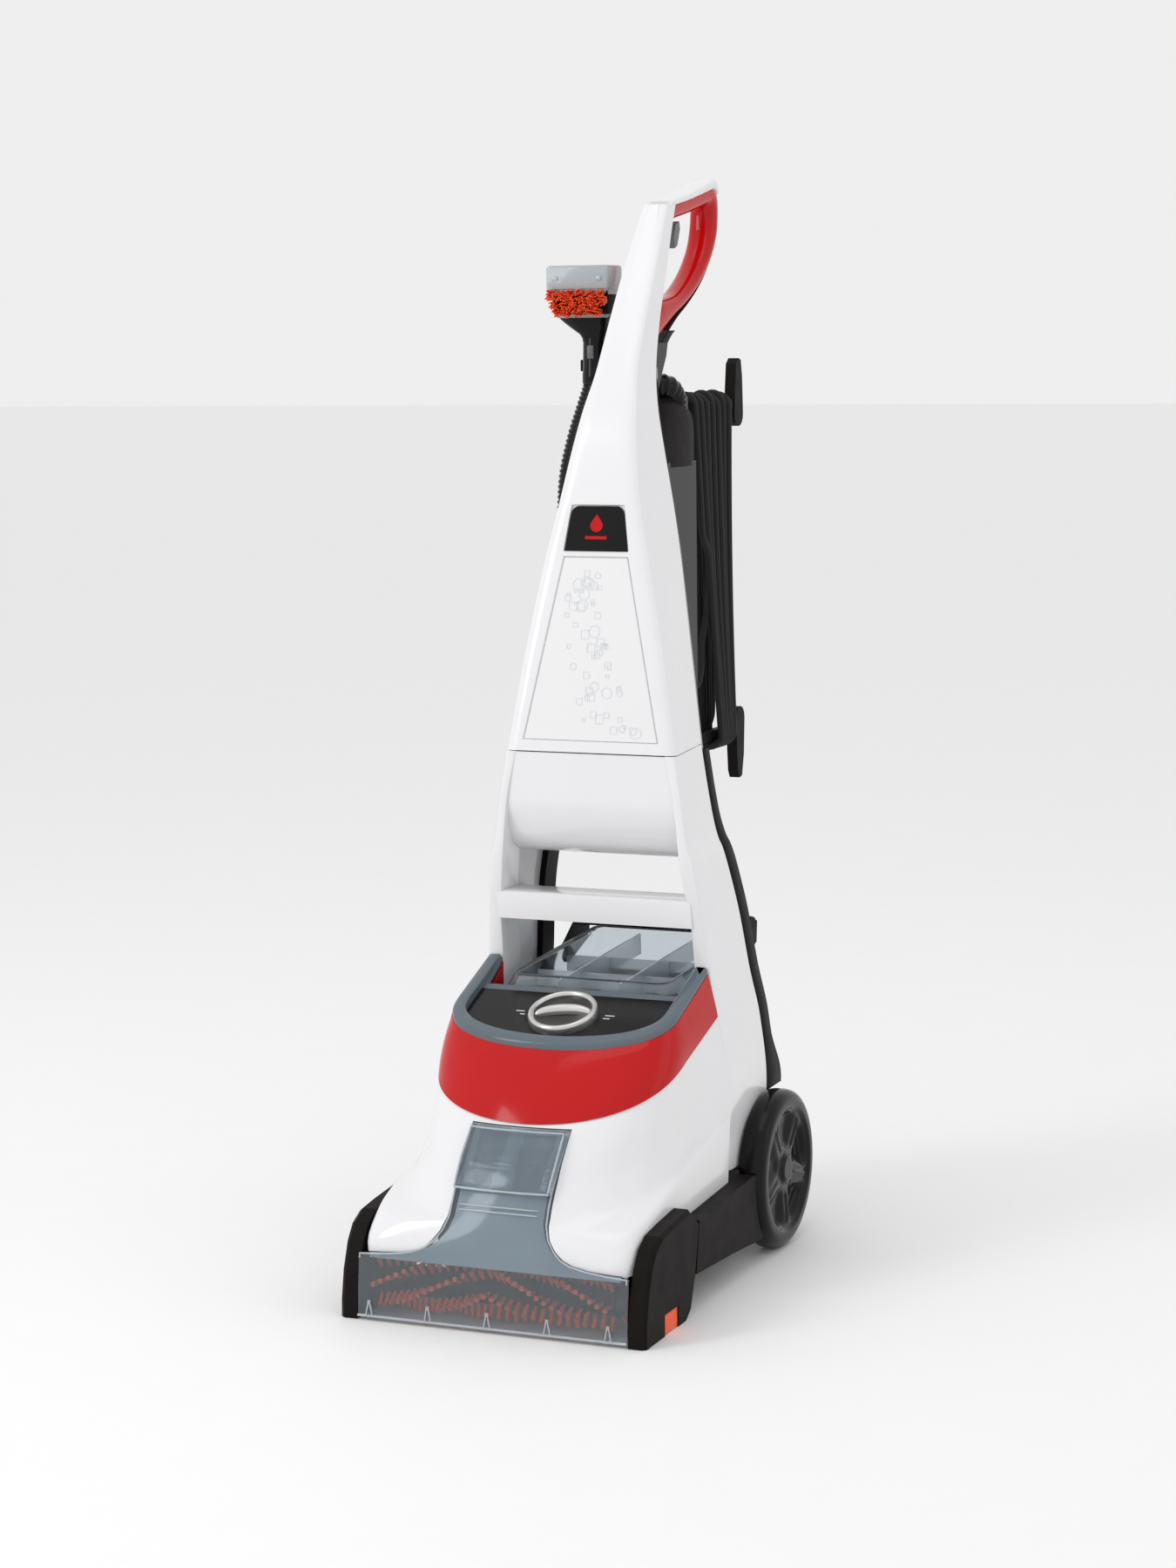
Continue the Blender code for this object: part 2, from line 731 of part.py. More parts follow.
def tank_bladder():
    """Sealed clean-water bag that stands on the tank's floor, with a neck on top."""
    bag = box(
        "tank_bladder", (-0.0600, -0.0600, TANK_FLOOR + 0.004), (0.0600, 0.0800, 0.2200),
        material("bladder_clear", (0.5, 0.6, 0.65), 0.3, 0.0, 0.6), 0.012,
    )
    neck = rod("bladder_neck", "z", (0.0, 0.0), 0.0180, 0.2100, 0.2560, white(), 24)
    bore = rod("cut_neck", "z", (0.0, 0.0), 0.0150, 0.1400, 0.2700, white(), 24)
    join(bag, neck)
    return cut(bag, bore)


def lid_top(y):
    return mix(0.2900, 0.3080, (y - TANK_FRONT) / (TANK_BACK - TANK_FRONT))


def tank_lid():
    """Smoke-tinted lid that slopes up to the rear, hollow underneath."""
    top = [(x * 0.92, y, lid_top(y)) for x, y, z in tank_plan(-0.0080, 0.0)]
    shoulder = [(x * 0.93, y, lid_top(y) - 0.004) for x, y, z in tank_plan(-0.0050, 0.0)]
    low = tank_plan(-0.0010, TANK_TOP + 0.0100)
    base = tank_plan(-0.0010, TANK_TOP + GAP)
    inner_base = tank_plan(-0.0045, TANK_TOP + GAP)
    inner_low = tank_plan(-0.0045, TANK_TOP + 0.0095)
    inner_top = [(x * 0.91, y, lid_top(y) - 0.003) for x, y, z in tank_plan(-0.0100, 0.0)]
    return loft("tank_lid", [top, shoulder, low, base, inner_base, inner_low, inner_top], smoke())


def tank_handle():
    """Carry bail: two hubs on the lid's sides and a bar across the rear."""
    half, thick = 0.0975, 0.0045
    hub = [(BAIL_Y + a, BAIL_Z + b) for a, b in circle(0.0108, 24)]
    arm = [(-0.0060, 0.0080), (0.0080, -0.0080), (0.0600, 0.0120), (0.0620, 0.0340), (0.0440, 0.0400)]
    arm = [(BAIL_Y + a, BAIL_Z + b) for a, b in arm]
    bail = plate("tank_handle", hub, "x", -half, -half + thick, black())
    bar_low = (-half, BAIL_Y + 0.0400, BAIL_Z + 0.0215)
    bar_high = (half, BAIL_Y + 0.0615, BAIL_Z + 0.0390)
    join(
        bail,
        plate("bail_hub", hub, "x", half - thick, half, black()),
        plate("bail_arm_a", arm, "x", -half, -half + thick - 0.0002, black()),
        plate("bail_arm_b", arm, "x", half - thick + 0.0002, half, black()),
        box("bail_bar", bar_low, bar_high, black(), 0.004),
    )
    return pivot(bail, (0.0, BAIL_Y, BAIL_Z))


# ---- handle frame -------------------------------------------------------
FRAME = [  # height, front y, front half width, rear y, rear half width
    (SEAM_Z, -0.0880, 0.0915, 0.0200, 0.0785), (0.6300, -0.0765, 0.0735, 0.0215, 0.0665),
    (0.7200, -0.0660, 0.0555, 0.0250, 0.0550), (0.7700, -0.0580, 0.0445, 0.0280, 0.0465),
    (0.8200, -0.0455, 0.0360, 0.0300, 0.0370), (0.8600, -0.0300, 0.0300, 0.0330, 0.0295),
    (0.9030, -0.0080, 0.0230, 0.0430, 0.0235), (0.9500, 0.0200, 0.0205, 0.0600, 0.0210),
    (1.0000, 0.0530, 0.0185, 0.0850, 0.0190), (1.0400, 0.0810, 0.0160, 0.1060, 0.0165),
    (1.0680, 0.1010, 0.0135, 0.1240, 0.0140),
]


def channel(front, half, back, rear_half, z, thick, soft=0.006):
    """Cross-section open to the rear, with softened front corners."""
    right = [
        (half - soft, front), (half - soft * 0.35, front + soft * 0.3),
        (half + 0.0006, front + soft), (rear_half, back),
    ]
    outer = [(-x, y) for x, y in reversed(right)] + right
    inner = [(x - math.copysign(thick, x), min(y + thick, back)) for x, y in reversed(outer)]
    return [(x, y, z) for x, y in outer + inner]


def upper_frame():
    rings = [channel(f, h, b, r, z, 0.0045) for z, f, h, b, r in FRAME]
    frame = loft("upper_frame", rings, white())
    recess = accent_outline(0.0006)
    slab = []
    for depth in (-0.0100, 0.0022):
        slab.append([(x, along(FRAME, z)[0] + depth, z) for x, z in recess])
    cut(frame, loft("cut_recess", slab, white()))
    badge = []
    for depth in (-0.0100, 0.0022):
        badge.append([(x, along(FRAME, z)[0] + depth, z) for x, z in badge_outline(0.0006)])
    return cut(frame, loft("cut_badge", badge, white()))


def accent_outline(grow):
    low, high = SEAM_Z + 0.0110 - grow, 0.7180 + grow
    return [(-0.0735 - grow, low), (0.0735 + grow, low), (0.0350 + grow, high), (-0.0350 - grow, high)]


def badge_outline(grow):
    low, high = 0.7230 - grow, 0.7690 + grow
    right = [(0.0350 + grow, low), (0.0290 + grow, high - 0.004), (0.0240 + grow, high)]
    return [(-0.0350 - grow, low), *right, (-0.0240 - grow, high), (-0.0290 - grow, high - 0.004)]


def skin_plate(name, outline, depth, proud, mat):
    rings = []
    for offset in (depth, -proud):
        rings.append([(x, along(FRAME, z)[0] + offset, z) for x, z in outline])
    return loft(name, rings, mat)


LEG = [  # height, front y, inner half width at the front, crease half width, rear y, rear half width
    (
        0.1000, -0.0500, 0.1040, 0.1330, 0.0560, 0.1330,
    ), (0.1300, -0.0640, 0.1040, 0.1335, 0.0570, 0.1330),
    (
        0.1750, -0.0720, 0.1040, 0.1420, 0.0560, 0.1345,
    ), (0.2400, -0.0710, 0.1040, 0.1320, 0.0520, 0.1290),
    (0.2900, -0.0710, 0.1040, 0.1240, 0.0440, 0.1210), (BAR_Z, -0.0780, 0.1030, 0.1175, 0.0330, 0.1140),
    (
        0.3900, -0.0860, 0.0985, 0.1125, 0.0260, 0.1060,
    ), (0.4200, -0.0900, 0.0950, 0.1085, 0.0220, 0.0970),
    (0.4700, -0.0905, 0.0900, 0.1005, 0.0200, 0.0870), (
        SEAM_Z - GAP, -0.0880, 0.0800, 0.0915, 0.0200, 0.0785,
    ),
]


def leg(name, side):
    rings = []
    for z, front, inner, crease, back, rear in LEG:
        ring = [
            (inner, front), (crease - 0.003, front), (crease, front + 0.004), (rear, back),
            (rear - 0.0045, back),
            (crease - 0.0055, front + 0.0070), (inner + 0.0045, front + 0.0060),
            (inner + 0.0045, front + 0.030),
            (inner, front + 0.030),
        ]
        rings.append([(side * x, y, z) for x, y in ring])
    return loft(name, rings, white())


def lower_frame():
    """White legs, crossbar and the panel under the seam, moulded in one piece."""
    left = leg("lower_frame", -1)
    right = leg("leg_b", 1)
    top = BAR_Z + BAR_H
    section = [
        (-0.0780, BAR_Z), (-0.0835, top - 0.003), (-0.0800, top), (-0.0450, top),
        (-0.0450, top - 0.004), (-0.0740, top - 0.004), (-0.0740, BAR_Z),
    ]
    bar = plate("frame_bar", section, "x", -0.1045, 0.1045, white())
    upper = SEAM_Z - GAP - 0.0004
    face = [
        (-0.0872, upper), (-0.0872, 0.4680), (-0.0800, 0.4500), (-0.0580, OPEN_Z),
        (-0.0300, OPEN_Z - 0.0015),
        (-0.0300, OPEN_Z + 0.003), (-0.0555, OPEN_Z + 0.0045), (-0.0760, 0.4530), (-0.0832, 0.4700),
        (-0.0832, upper),
    ]
    panel = plate("frame_panel", face, "x", -0.0832, 0.0832, white())
    foot_a = pivot_lug("lug_a", -1)
    foot_b = pivot_lug("lug_b", 1)
    join(left, right, bar, panel, foot_a, foot_b)
    bore = rod("cut_lug", "x", (AXLE_Y, AXLE_Z), AXLE_R + RUN, -0.2, 0.2, white(), 32)
    return cut(left, bore)


def pivot_lug(name, side):
    """Flat tongue of the leg that turns on the axle, inboard of the wheel."""
    ring = []
    for k in range(13):
        angle = math.radians(-160 + 15 * k)
        ring.append((AXLE_Y + 0.0200 * math.cos(angle), AXLE_Z + 0.0200 * math.sin(angle)))
    ring += [(0.0500, 0.1500), (-0.0400, 0.1500), (-0.0450, 0.1100)]
    low, high = sorted((side * 0.1270, side * 0.1330))
    return plate(name, ring, "x", low, high, white())


def cover_ring(z, back, rear):
    """Shallow channel behind the frame, open to the front."""
    deep = back + GAP + COVER_DEPTH
    edge = rear - 0.0005
    ring = [(-edge, back + GAP), (-edge + 0.0035, deep), (edge - 0.0035, deep), (edge, back + GAP)]
    ring += [(edge - WALL, back + GAP), (edge - 0.0035 - WALL, deep - WALL)]
    ring += [(-edge + 0.0035 + WALL, deep - WALL), (-edge + WALL, back + GAP)]
    return [(x, y, z) for x, y in ring]


def rear_cover():
    """Black back shell of the frame with the deep backbone that carries hose port and cord hooks."""
    rows = [(0.4200, 0.0220, 0.0940), (0.4700, 0.0200, 0.0870)]
    rows += [(z, back, rear) for z, _, _, back, rear in FRAME if z < COVER_TOP]
    cover = loft("rear_cover", [cover_ring(*row) for row in rows], black())
    outline = [
        (0.0330, 0.4850), (0.0900, 0.4600), (SPINE_BACK, 0.4700), (SPINE_BACK, HOSE_PORT_Z),
        (0.0420, HOSE_PORT_Z),
    ]
    spine = plate("cover_spine", outline, "x", -0.0200, 0.0200, black())
    inside = [
        (0.0500, 0.4950), (0.0940, 0.4720), (SPINE_BACK - 0.012, 0.4800),
        (SPINE_BACK - 0.012, HOSE_PORT_Z + 0.005), (0.0560, HOSE_PORT_Z + 0.005),
    ]
    hollow = plate("cut_spine", inside, "x", -0.0170, 0.0170, black())
    post_low, post_high = (
        -0.0120, SPINE_BACK - 0.0115, HOSE_PORT_Z - 0.015,
    ), (0.0120, SPINE_BACK, HOOK_TOP_Z + 0.012)
    post = box("cover_post", post_low, post_high, black(), 0.002)
    join(cover, spine)
    cut(cover, hollow)
    join(cover, post)
    # neck under the hand grip
    neck = plate(
        "cover_neck",
        [(0.0480, 0.8700), (0.0720, 0.8800), (0.0960, 0.9150), (0.1000, 0.9280), (0.0560, 0.9280)],
        "x", -0.0140, 0.0140, black(),
    )
    join(cover, neck)
    return cover


def rear_leg(name, side):
    """Black strip that closes a leg from behind."""
    rings = []
    for z in (0.1300, 0.1750, 0.2400, 0.2900, 0.3500, 0.3900, OPEN_Z):
        _, _, _, back, rear = along(LEG, z)
        ring = [
            (rear - STRIP_W, back + GAP), (rear - 0.0008, back + GAP),
            (rear - 0.0020, back + 0.0100), (rear - STRIP_W, back + 0.0100),
        ]
        rings.append([(side * x, y, z) for x, y in ring])
    return loft(name, rings, black())


def grip_shell():
    """White cap over the top of the loop handle, from the spine to the rear tip."""
    outline = [
        (0.1050, 1.0690), (0.1250, 1.0790), (0.1900, 1.0890), (0.2470, TOP), (0.2540, 1.0960),
        (0.2560, 1.0860),
        (0.2300, 1.0845), (0.1800, 1.0740), (0.1260, 1.0685),
    ]
    return plate("grip_cap", outline, "x", -GRIP_HALF, GRIP_HALF, white())


def hand_grip():
    """Red loop handle: top arm, curved grip and lower root, closed round the hand opening."""
    outer = [
        (0.1270, 1.0680), (0.1800, 1.0736), (0.2300, 1.0841), (0.2560, 1.0855), (0.2570, 1.0560),
        (0.2440, 1.0230),
        (0.2140, 0.9910), (0.1700, 0.9640), (0.1250, 0.9440), (0.1010, 0.9290), (0.0562, 0.9290),
    ]
    root = [(0.0700, 0.9480), (0.0905, 0.9765), (0.1110, 1.0060), (0.1200, 1.0250), (0.1270, 1.0500)]
    grip = plate("hand_grip", outer + root, "x", -GRIP_HALF, GRIP_HALF, red())
    opening = [
        (0.1010, 0.9800), (0.1250, 0.9720), (0.1650, 0.9860), (0.2000, 1.0080), (0.2240, 1.0340),
        (0.2310, 1.0580),
        (0.2180, 1.0650), (0.1800, 1.0590), (0.1480, 1.0530), (0.1400, 1.0480), (0.1190, 1.0120),
    ]
    return cut(grip, plate("cut_grip", opening, "x", -GRIP_HALF - 0.006, GRIP_HALF + 0.006, red()))


def trigger():
    outline = [
        (0.1450, 1.0495), (0.1560, 1.0530), (0.1580, 1.0450), (0.1500, 1.0280), (0.1430, 1.0250),
        (0.1405, 1.0350),
    ]
    obj = plate(
        "trigger", outline, "x", -0.0060, 0.0060, material("trigger_grey", (0.25, 0.27, 0.29), 0.4),
    )
    return pivot(obj, (0.0, 0.1500, 1.0500))


def cord_hook(name, z, up):
    """Flat finger on a stem; the stem runs back from the backbone."""
    sign = 1 if up else -1
    radius = 0.0135
    ring = []
    for k in range(9):
        angle = math.radians(180 + 22.5 * k) if up else math.radians(22.5 * k)
        ring.append((-radius + radius * math.cos(angle), -sign * 0.0105 + radius * math.sin(angle)))
    if up:
        ring += [(-0.0025, 0.0300), (-0.0065, 0.0480), (-0.0135, 0.0500), (-0.0215, 0.0440)]
        ring += [(-0.0255, 0.0150)]
    else:
        ring += [(-0.0250, -0.0150), (-0.0215, -0.0470), (-0.0165, -0.0555), (-0.0085, -0.0540)]
        ring += [(-0.0025, -0.0300)]
    ring = [(HALF_DEPTH + a, z + b) for a, b in ring]
    finger = plate(name, ring, "x", -HOOK_HALF, HOOK_HALF, black())
    low, high = (-0.0045, SPINE_BACK + GAP, z - 0.0055), (0.0045, HALF_DEPTH - 0.0165, z + 0.0055)
    return join(finger, box("stem_" + name, low, high, black()))


# ---- hose and hand tool -------------------------------------------------
HOSE_LINE = [
    (-0.0880, 0.1200, 0.8850), (-0.0950, 0.1200, 0.8300), (-0.1020, 0.1170, 0.7600),
    (-0.1020, 0.1120, 0.6600), (-0.0960, 0.1080, 0.5900),
    (-0.0760, 0.1060, 0.5480), (-0.0560, 0.1060, 0.5900), (-0.0520, 0.1100, 0.6600),
    (-0.0520, 0.1150, 0.7600), (-0.0480, 0.1200, 0.8350),
    (-0.0250, 0.1240, 0.8760), (-0.0020, 0.1260, 0.8680), (0.0000, 0.1280, 0.8400),
    (0.0000, 0.1280, 0.8120),
]


def hose():
    path = smooth_path(HOSE_LINE, 0.0125)
    return sweep_tube(
        "hose", path, HOSE_R - 0.0012, material("hose_black", (0.02, 0.02, 0.02), 0.45), 14, 0.0008,
    )


def hose_cuff():
    return rod("hose_cuff", "z", (0.0, 0.1280), 0.0165, 0.8053, 0.8115, black(), 28)


def tool_body():
    """Black handle of the hand tool with its widening neck."""
    rings = []
    for radius, z, wide in (
        (0.0150, 0.8870, 1.0), (0.0150, 0.9000, 1.0), (0.0135, 0.9300, 1.0),
        (0.0140, 0.9360, 1.3), (0.0150, 0.9500, 2.1), (0.0150, 0.9570, 2.5),
    ):
        x = mix(TOOL_X - 0.0012, TOOL_X + 0.0005, (z - 0.887) / 0.07)
        rings.append([(x + a * wide, TOOL_Y + b, z) for a, b in circle(radius, 28)])
    return loft("tool_body", rings, black())


def tool_head():
    """Clear flat suction head across the top of the hand tool."""
    rings = []
    for half, front, back, z in (
        (0.0340, 0.1000, 0.1350, 0.9573), (0.0400, 0.0960, 0.1350, 0.9750),
        (0.0410, 0.0960, 0.1330, 0.9950), (0.0405, 0.1010, 0.1320, 1.0100),
    ):
        low, high = TOOL_X - half, TOOL_X + half
        rings.append([(low, front, z), (high, front, z), (high, back, z), (low, back, z)])
    return loft("tool_head", rings, smoke())


def tool_bristles():
    return box(
        "tool_bristles", (TOOL_X - 0.0350, 0.0860, 0.9680), (TOOL_X + 0.0350, 0.0957, 0.9920),
        bristle(),
    )


def tool_button():
    grey = material("button_grey", (0.2, 0.2, 0.2), 0.4)
    return box(
        "tool_button", (TOOL_X - 0.0040, 0.0985, 0.9130), (TOOL_X + 0.0030, 0.1025, 0.9270), grey,
    )


def tool_clip():
    """Ring round the tool's tube on an arm from the back shell."""
    ring = tube(
        "tool_clip", "z", (TOOL_X - 0.0008, TOOL_Y), 0.0190, 0.0156, 0.8990, 0.9110, black(), 28,
    )
    arm = box("clip_arm", (-0.0720, 0.1010, 0.8990), (-0.0145, 0.1090, 0.9110), black())
    arm2 = box("clip_root", (-0.0230, 0.0920, 0.8960), (-0.0143, 0.1090, 0.9110), black())
    return join(ring, arm, arm2)


# ---- power cord ---------------------------------------------------------
COIL = [  # height, low y, high y
    (0.4860, 0.2380, 0.3030), (0.6000, 0.2150, 0.2950), (0.7500, 0.1850, 0.2950),
    (0.8770, 0.1700, 0.3030),
]


def cord_coil():
    """Outer shape of the cord's turns, wound round both hook stems."""
    inner, outer = 0.0080, 0.0185
    low, high = COIL[0][0], COIL[-1][0]
    rings = []
    for t in range(40):
        if t < 14:
            x, z, nx = outer, mix(low + 0.018, high - 0.018, t / 13), 1.0
            off, deep = (x, z), (inner, z)
        elif t < 20:
            angle = math.pi * (t - 14 + 0.5) / 6
            off = (outer * math.cos(angle), high - 0.018 + 0.018 * math.sin(angle))
            deep = (inner * math.cos(angle), high - 0.018 + 0.0085 * math.sin(angle))
        elif t < 34:
            z = mix(high - 0.018, low + 0.018, (t - 20) / 13)
            off, deep = (-outer, z), (-inner, z)
        else:
            angle = math.pi + math.pi * (t - 34 + 0.5) / 6
            off = (outer * math.cos(angle), low + 0.018 + 0.018 * math.sin(angle))
            deep = (inner * math.cos(angle), low + 0.018 + 0.0085 * math.sin(angle))
        y0, y1 = along(COIL, off[1])
        rings.append(
            [
                (off[0], y0, off[1]), (off[0], y1, off[1]), (deep[0], y1, deep[1]),
                (deep[0], y0, deep[1]),
            ],
        )
    return loft("cord_coil", rings, cord_rubber(), looped=True)


def cord_rubber():
    return material("cord_rubber", (0.012, 0.011, 0.011), 0.45)


def curve_cord(name, points):
    data = bpy.data.curves.new(name, "CURVE")
    data.dimensions = "3D"
    data.bevel_depth = CORD_D / 2
    data.bevel_resolution = 2
    data.use_fill_caps = True
    spline = data.splines.new("POLY")
    spline.points.add(len(points) - 1)
    for point, place in zip(spline.points, points):
        point.co = (*place, 1.0)
    obj = bpy.data.objects.new(name, data)
    bpy.context.scene.collection.objects.link(obj)
    data.materials.append(cord_rubber())
    return obj


def cord_lead():
    """From the gland low on the backbone to the first turn."""
    points = [
        (0.0000, SPINE_BACK + 0.0325, 0.5600), (0.0000, 0.2060, 0.5600), (0.0000, 0.2190, 0.5650),
        (0.0000, 0.2270, 0.5800), (0.0000, 0.2290, 0.6050), (0.0000, 0.2290, 0.6400),
    ]
    return curve_cord("cord_lead", smooth_path(points, 0.0160))


def cord_gland():
    rings = []
    for radius, y in (
        (0.0085, SPINE_BACK + GAP), (0.0080, SPINE_BACK + 0.006), (0.0050, SPINE_BACK + 0.032),
    ):
        rings.append([(a, y, 0.5600 + b) for a, b in circle(radius, 20)])
    return loft("cord_gland", rings, black())


def cord_tail():
    """Short tail from the last turn up to the plug."""
    x = -0.0285
    path = [
        (-0.0190 - CORD_D / 2, 0.2600, 0.5400), (-0.0265, 0.2605, 0.5560), (x, 0.2610, 0.5750),
        (x, 0.2610, 0.6050),
    ]
    return curve_cord("cord_tail", smooth_path(path, 0.0160))


def cord_plug():
    """Moulded two-blade plug that hangs beside the turns, with its tapered strain relief below."""
    x, y = -0.0285, 0.2610
    rings = []
    for radius, z in (
        (0.0045, 0.6053), (0.0065, 0.6350), (0.0088, 0.6420), (0.0088, 0.6700), (0.0080, 0.6720),
    ):
        rings.append([(x + a, y + b * (1.35 if z > 0.64 else 1.0), z) for a, b in circle(radius, 20)])
    plug = loft("cord_plug", rings, black())
    for k, shift in enumerate((-0.0063, 0.0063)):
        blade = box(
            "plug_blade_%d" % k, (x - 0.0031, y + shift - 0.0008, 0.6700),
            (x + 0.0031, y + shift + 0.0008, 0.6890), steel(),
        )
        join(plug, blade)
    return plug


# ---- assembly -----------------------------------------------------------
def build():
    clear_scene()
    base_tray()
    side_rail("side_rail_left", 1)
    side_rail("side_rail_right", -1)
    end_cap("end_cap_left", 1)
    end_cap("end_cap_right", -1)
    edge_brush("edge_brush_left", 1)
    edge_brush("edge_brush_right", -1)
    foot_hood()
    red_band()
    control_deck()
    selector_knob()
    nozzle_window()
    window_latch()
    suction_duct()
    brush_core()
    brush_bristles()
    drive_belt()
    motor_pulley()
    brush_motor()
    vacuum_motor()
    water_pump()
    pedal("power_pedal", 1, red())
    pedal("recline_pedal", -1, material("pedal_grey", (0.25, 0.26, 0.27), 0.5))
    axle()
    wheel("wheel_left", 1)
    wheel("wheel_right", -1)
    tank_shell()
    tank_bladder()
    tank_lid()
    tank_handle()
    upper_frame()
    skin_plate("accent_panel", accent_outline(0.0), 0.0019, -0.0006, white())
    skin_plate(
        "badge", badge_outline(0.0), 0.0019, 0.0006,
        material("badge_black", (0.01, 0.01, 0.01), 0.2),
    )
    lower_frame()
    rear_cover()
    rear_leg("rear_leg_left", 1)
    rear_leg("rear_leg_right", -1)
    grip_shell()
    hand_grip()
    trigger()
    cord_hook("hook_upper", HOOK_TOP_Z, True)
    cord_hook("hook_lower", HOOK_LOW_Z, False)
    hose()
    hose_cuff()
    tool_body()
    tool_head()
    tool_bristles()
    tool_button()
    tool_clip()
    cord_coil()
    cord_gland()
    cord_lead()
    cord_tail()
    cord_plug()


build()
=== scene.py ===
"""Looks of an upright carpet washer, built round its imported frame.

Metres, +Z up. The nozzle faces -Y, and +X is the side of the left wheel.
"""

import math
import random

import bmesh
import bpy
from mathutils import Matrix, Vector


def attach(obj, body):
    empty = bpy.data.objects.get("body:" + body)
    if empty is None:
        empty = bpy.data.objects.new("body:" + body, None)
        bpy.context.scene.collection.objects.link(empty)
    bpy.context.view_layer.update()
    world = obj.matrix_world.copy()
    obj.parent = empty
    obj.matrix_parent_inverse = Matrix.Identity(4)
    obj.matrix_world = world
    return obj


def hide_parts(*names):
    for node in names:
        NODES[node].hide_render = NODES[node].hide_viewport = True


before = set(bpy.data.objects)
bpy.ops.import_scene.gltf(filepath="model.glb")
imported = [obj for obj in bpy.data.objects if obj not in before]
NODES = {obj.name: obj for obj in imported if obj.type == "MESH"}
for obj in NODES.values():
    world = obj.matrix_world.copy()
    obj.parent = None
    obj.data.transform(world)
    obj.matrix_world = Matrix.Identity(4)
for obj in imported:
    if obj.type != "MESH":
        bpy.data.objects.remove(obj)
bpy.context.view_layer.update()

CORD_D = 0.0076


# ---- camera, lights and floor -------------------------------------------
def set_camera():
    azimuth, elevation, roll = (math.radians(a) for a in (22.757, 7.519, -0.625))
    back = Vector((math.sin(azimuth) * math.cos(elevation), -math.cos(azimuth) * math.cos(elevation), math.sin(elevation)))
    right = Vector((math.cos(azimuth), math.sin(azimuth), 0.0))
    up = back.cross(right)
    level = right * math.cos(roll) + up * math.sin(roll)
    plumb = up * math.cos(roll) - right * math.sin(roll)
    data = bpy.data.cameras.new("camera")
    data.sensor_fit = "VERTICAL"
    data.sensor_height = 36.0
    data.lens = 77.88
    camera = bpy.data.objects.new("camera", data)
    camera.matrix_world = Matrix.Translation((1.2965, -3.1826, 0.9354)) @ Matrix((level, plumb, back)).transposed().to_4x4()
    bpy.context.scene.collection.objects.link(camera)
    bpy.context.scene.camera = camera


def area_light(name, place, target, size, power, tall=None):
    data = bpy.data.lights.new(name, "AREA")
    data.shape = "RECTANGLE"
    data.size = size
    data.size_y = tall or size
    data.energy = power
    lamp = bpy.data.objects.new(name, data)
    lamp.location = place
    lamp.rotation_euler = (Vector(target) - Vector(place)).to_track_quat("-Z", "Y").to_euler()
    bpy.context.scene.collection.objects.link(lamp)


def set_studio():
    world = bpy.data.worlds.new("studio")
    world.use_nodes = True
    world.node_tree.nodes["Background"].inputs["Color"].default_value = (1.0, 1.0, 1.0, 1.0)
    world.node_tree.nodes["Background"].inputs["Strength"].default_value = 0.86
    bpy.context.scene.world = world
    bpy.context.scene.view_settings.view_transform = "Standard"
    area_light("key", (-1.9, -2.4, 1.9), (0.0, 0.0, 0.4), 0.8, 26, 2.2)
    area_light("side", (2.8, 0.2, 1.4), (0.0, 0.0, 0.5), 1.2, 3, 2.2)
    area_light("top", (0.0, -0.4, 2.8), (0.0, 0.0, 0.3), 1.6, 6)
    bm = bmesh.new()
    bmesh.ops.create_grid(bm, x_segments=1, y_segments=1, size=40.0)
    floor = mesh_object("floor", bm)
    floor.data.transform(Matrix.Translation((0.0, 0.0, -0.0005)))
    floor.data.materials.append(moulding("floor_paint", (0.93, 0.93, 0.93), 0.6, 0.01, 0.0))


# ---- materials ----------------------------------------------------------
def add_node(tree, kind, **values):
    node = tree.nodes.new(kind)
    for name, value in values.items():
        if name in node.inputs:
            node.inputs[name].default_value = value
        else:
            setattr(node, name, value)
    return node


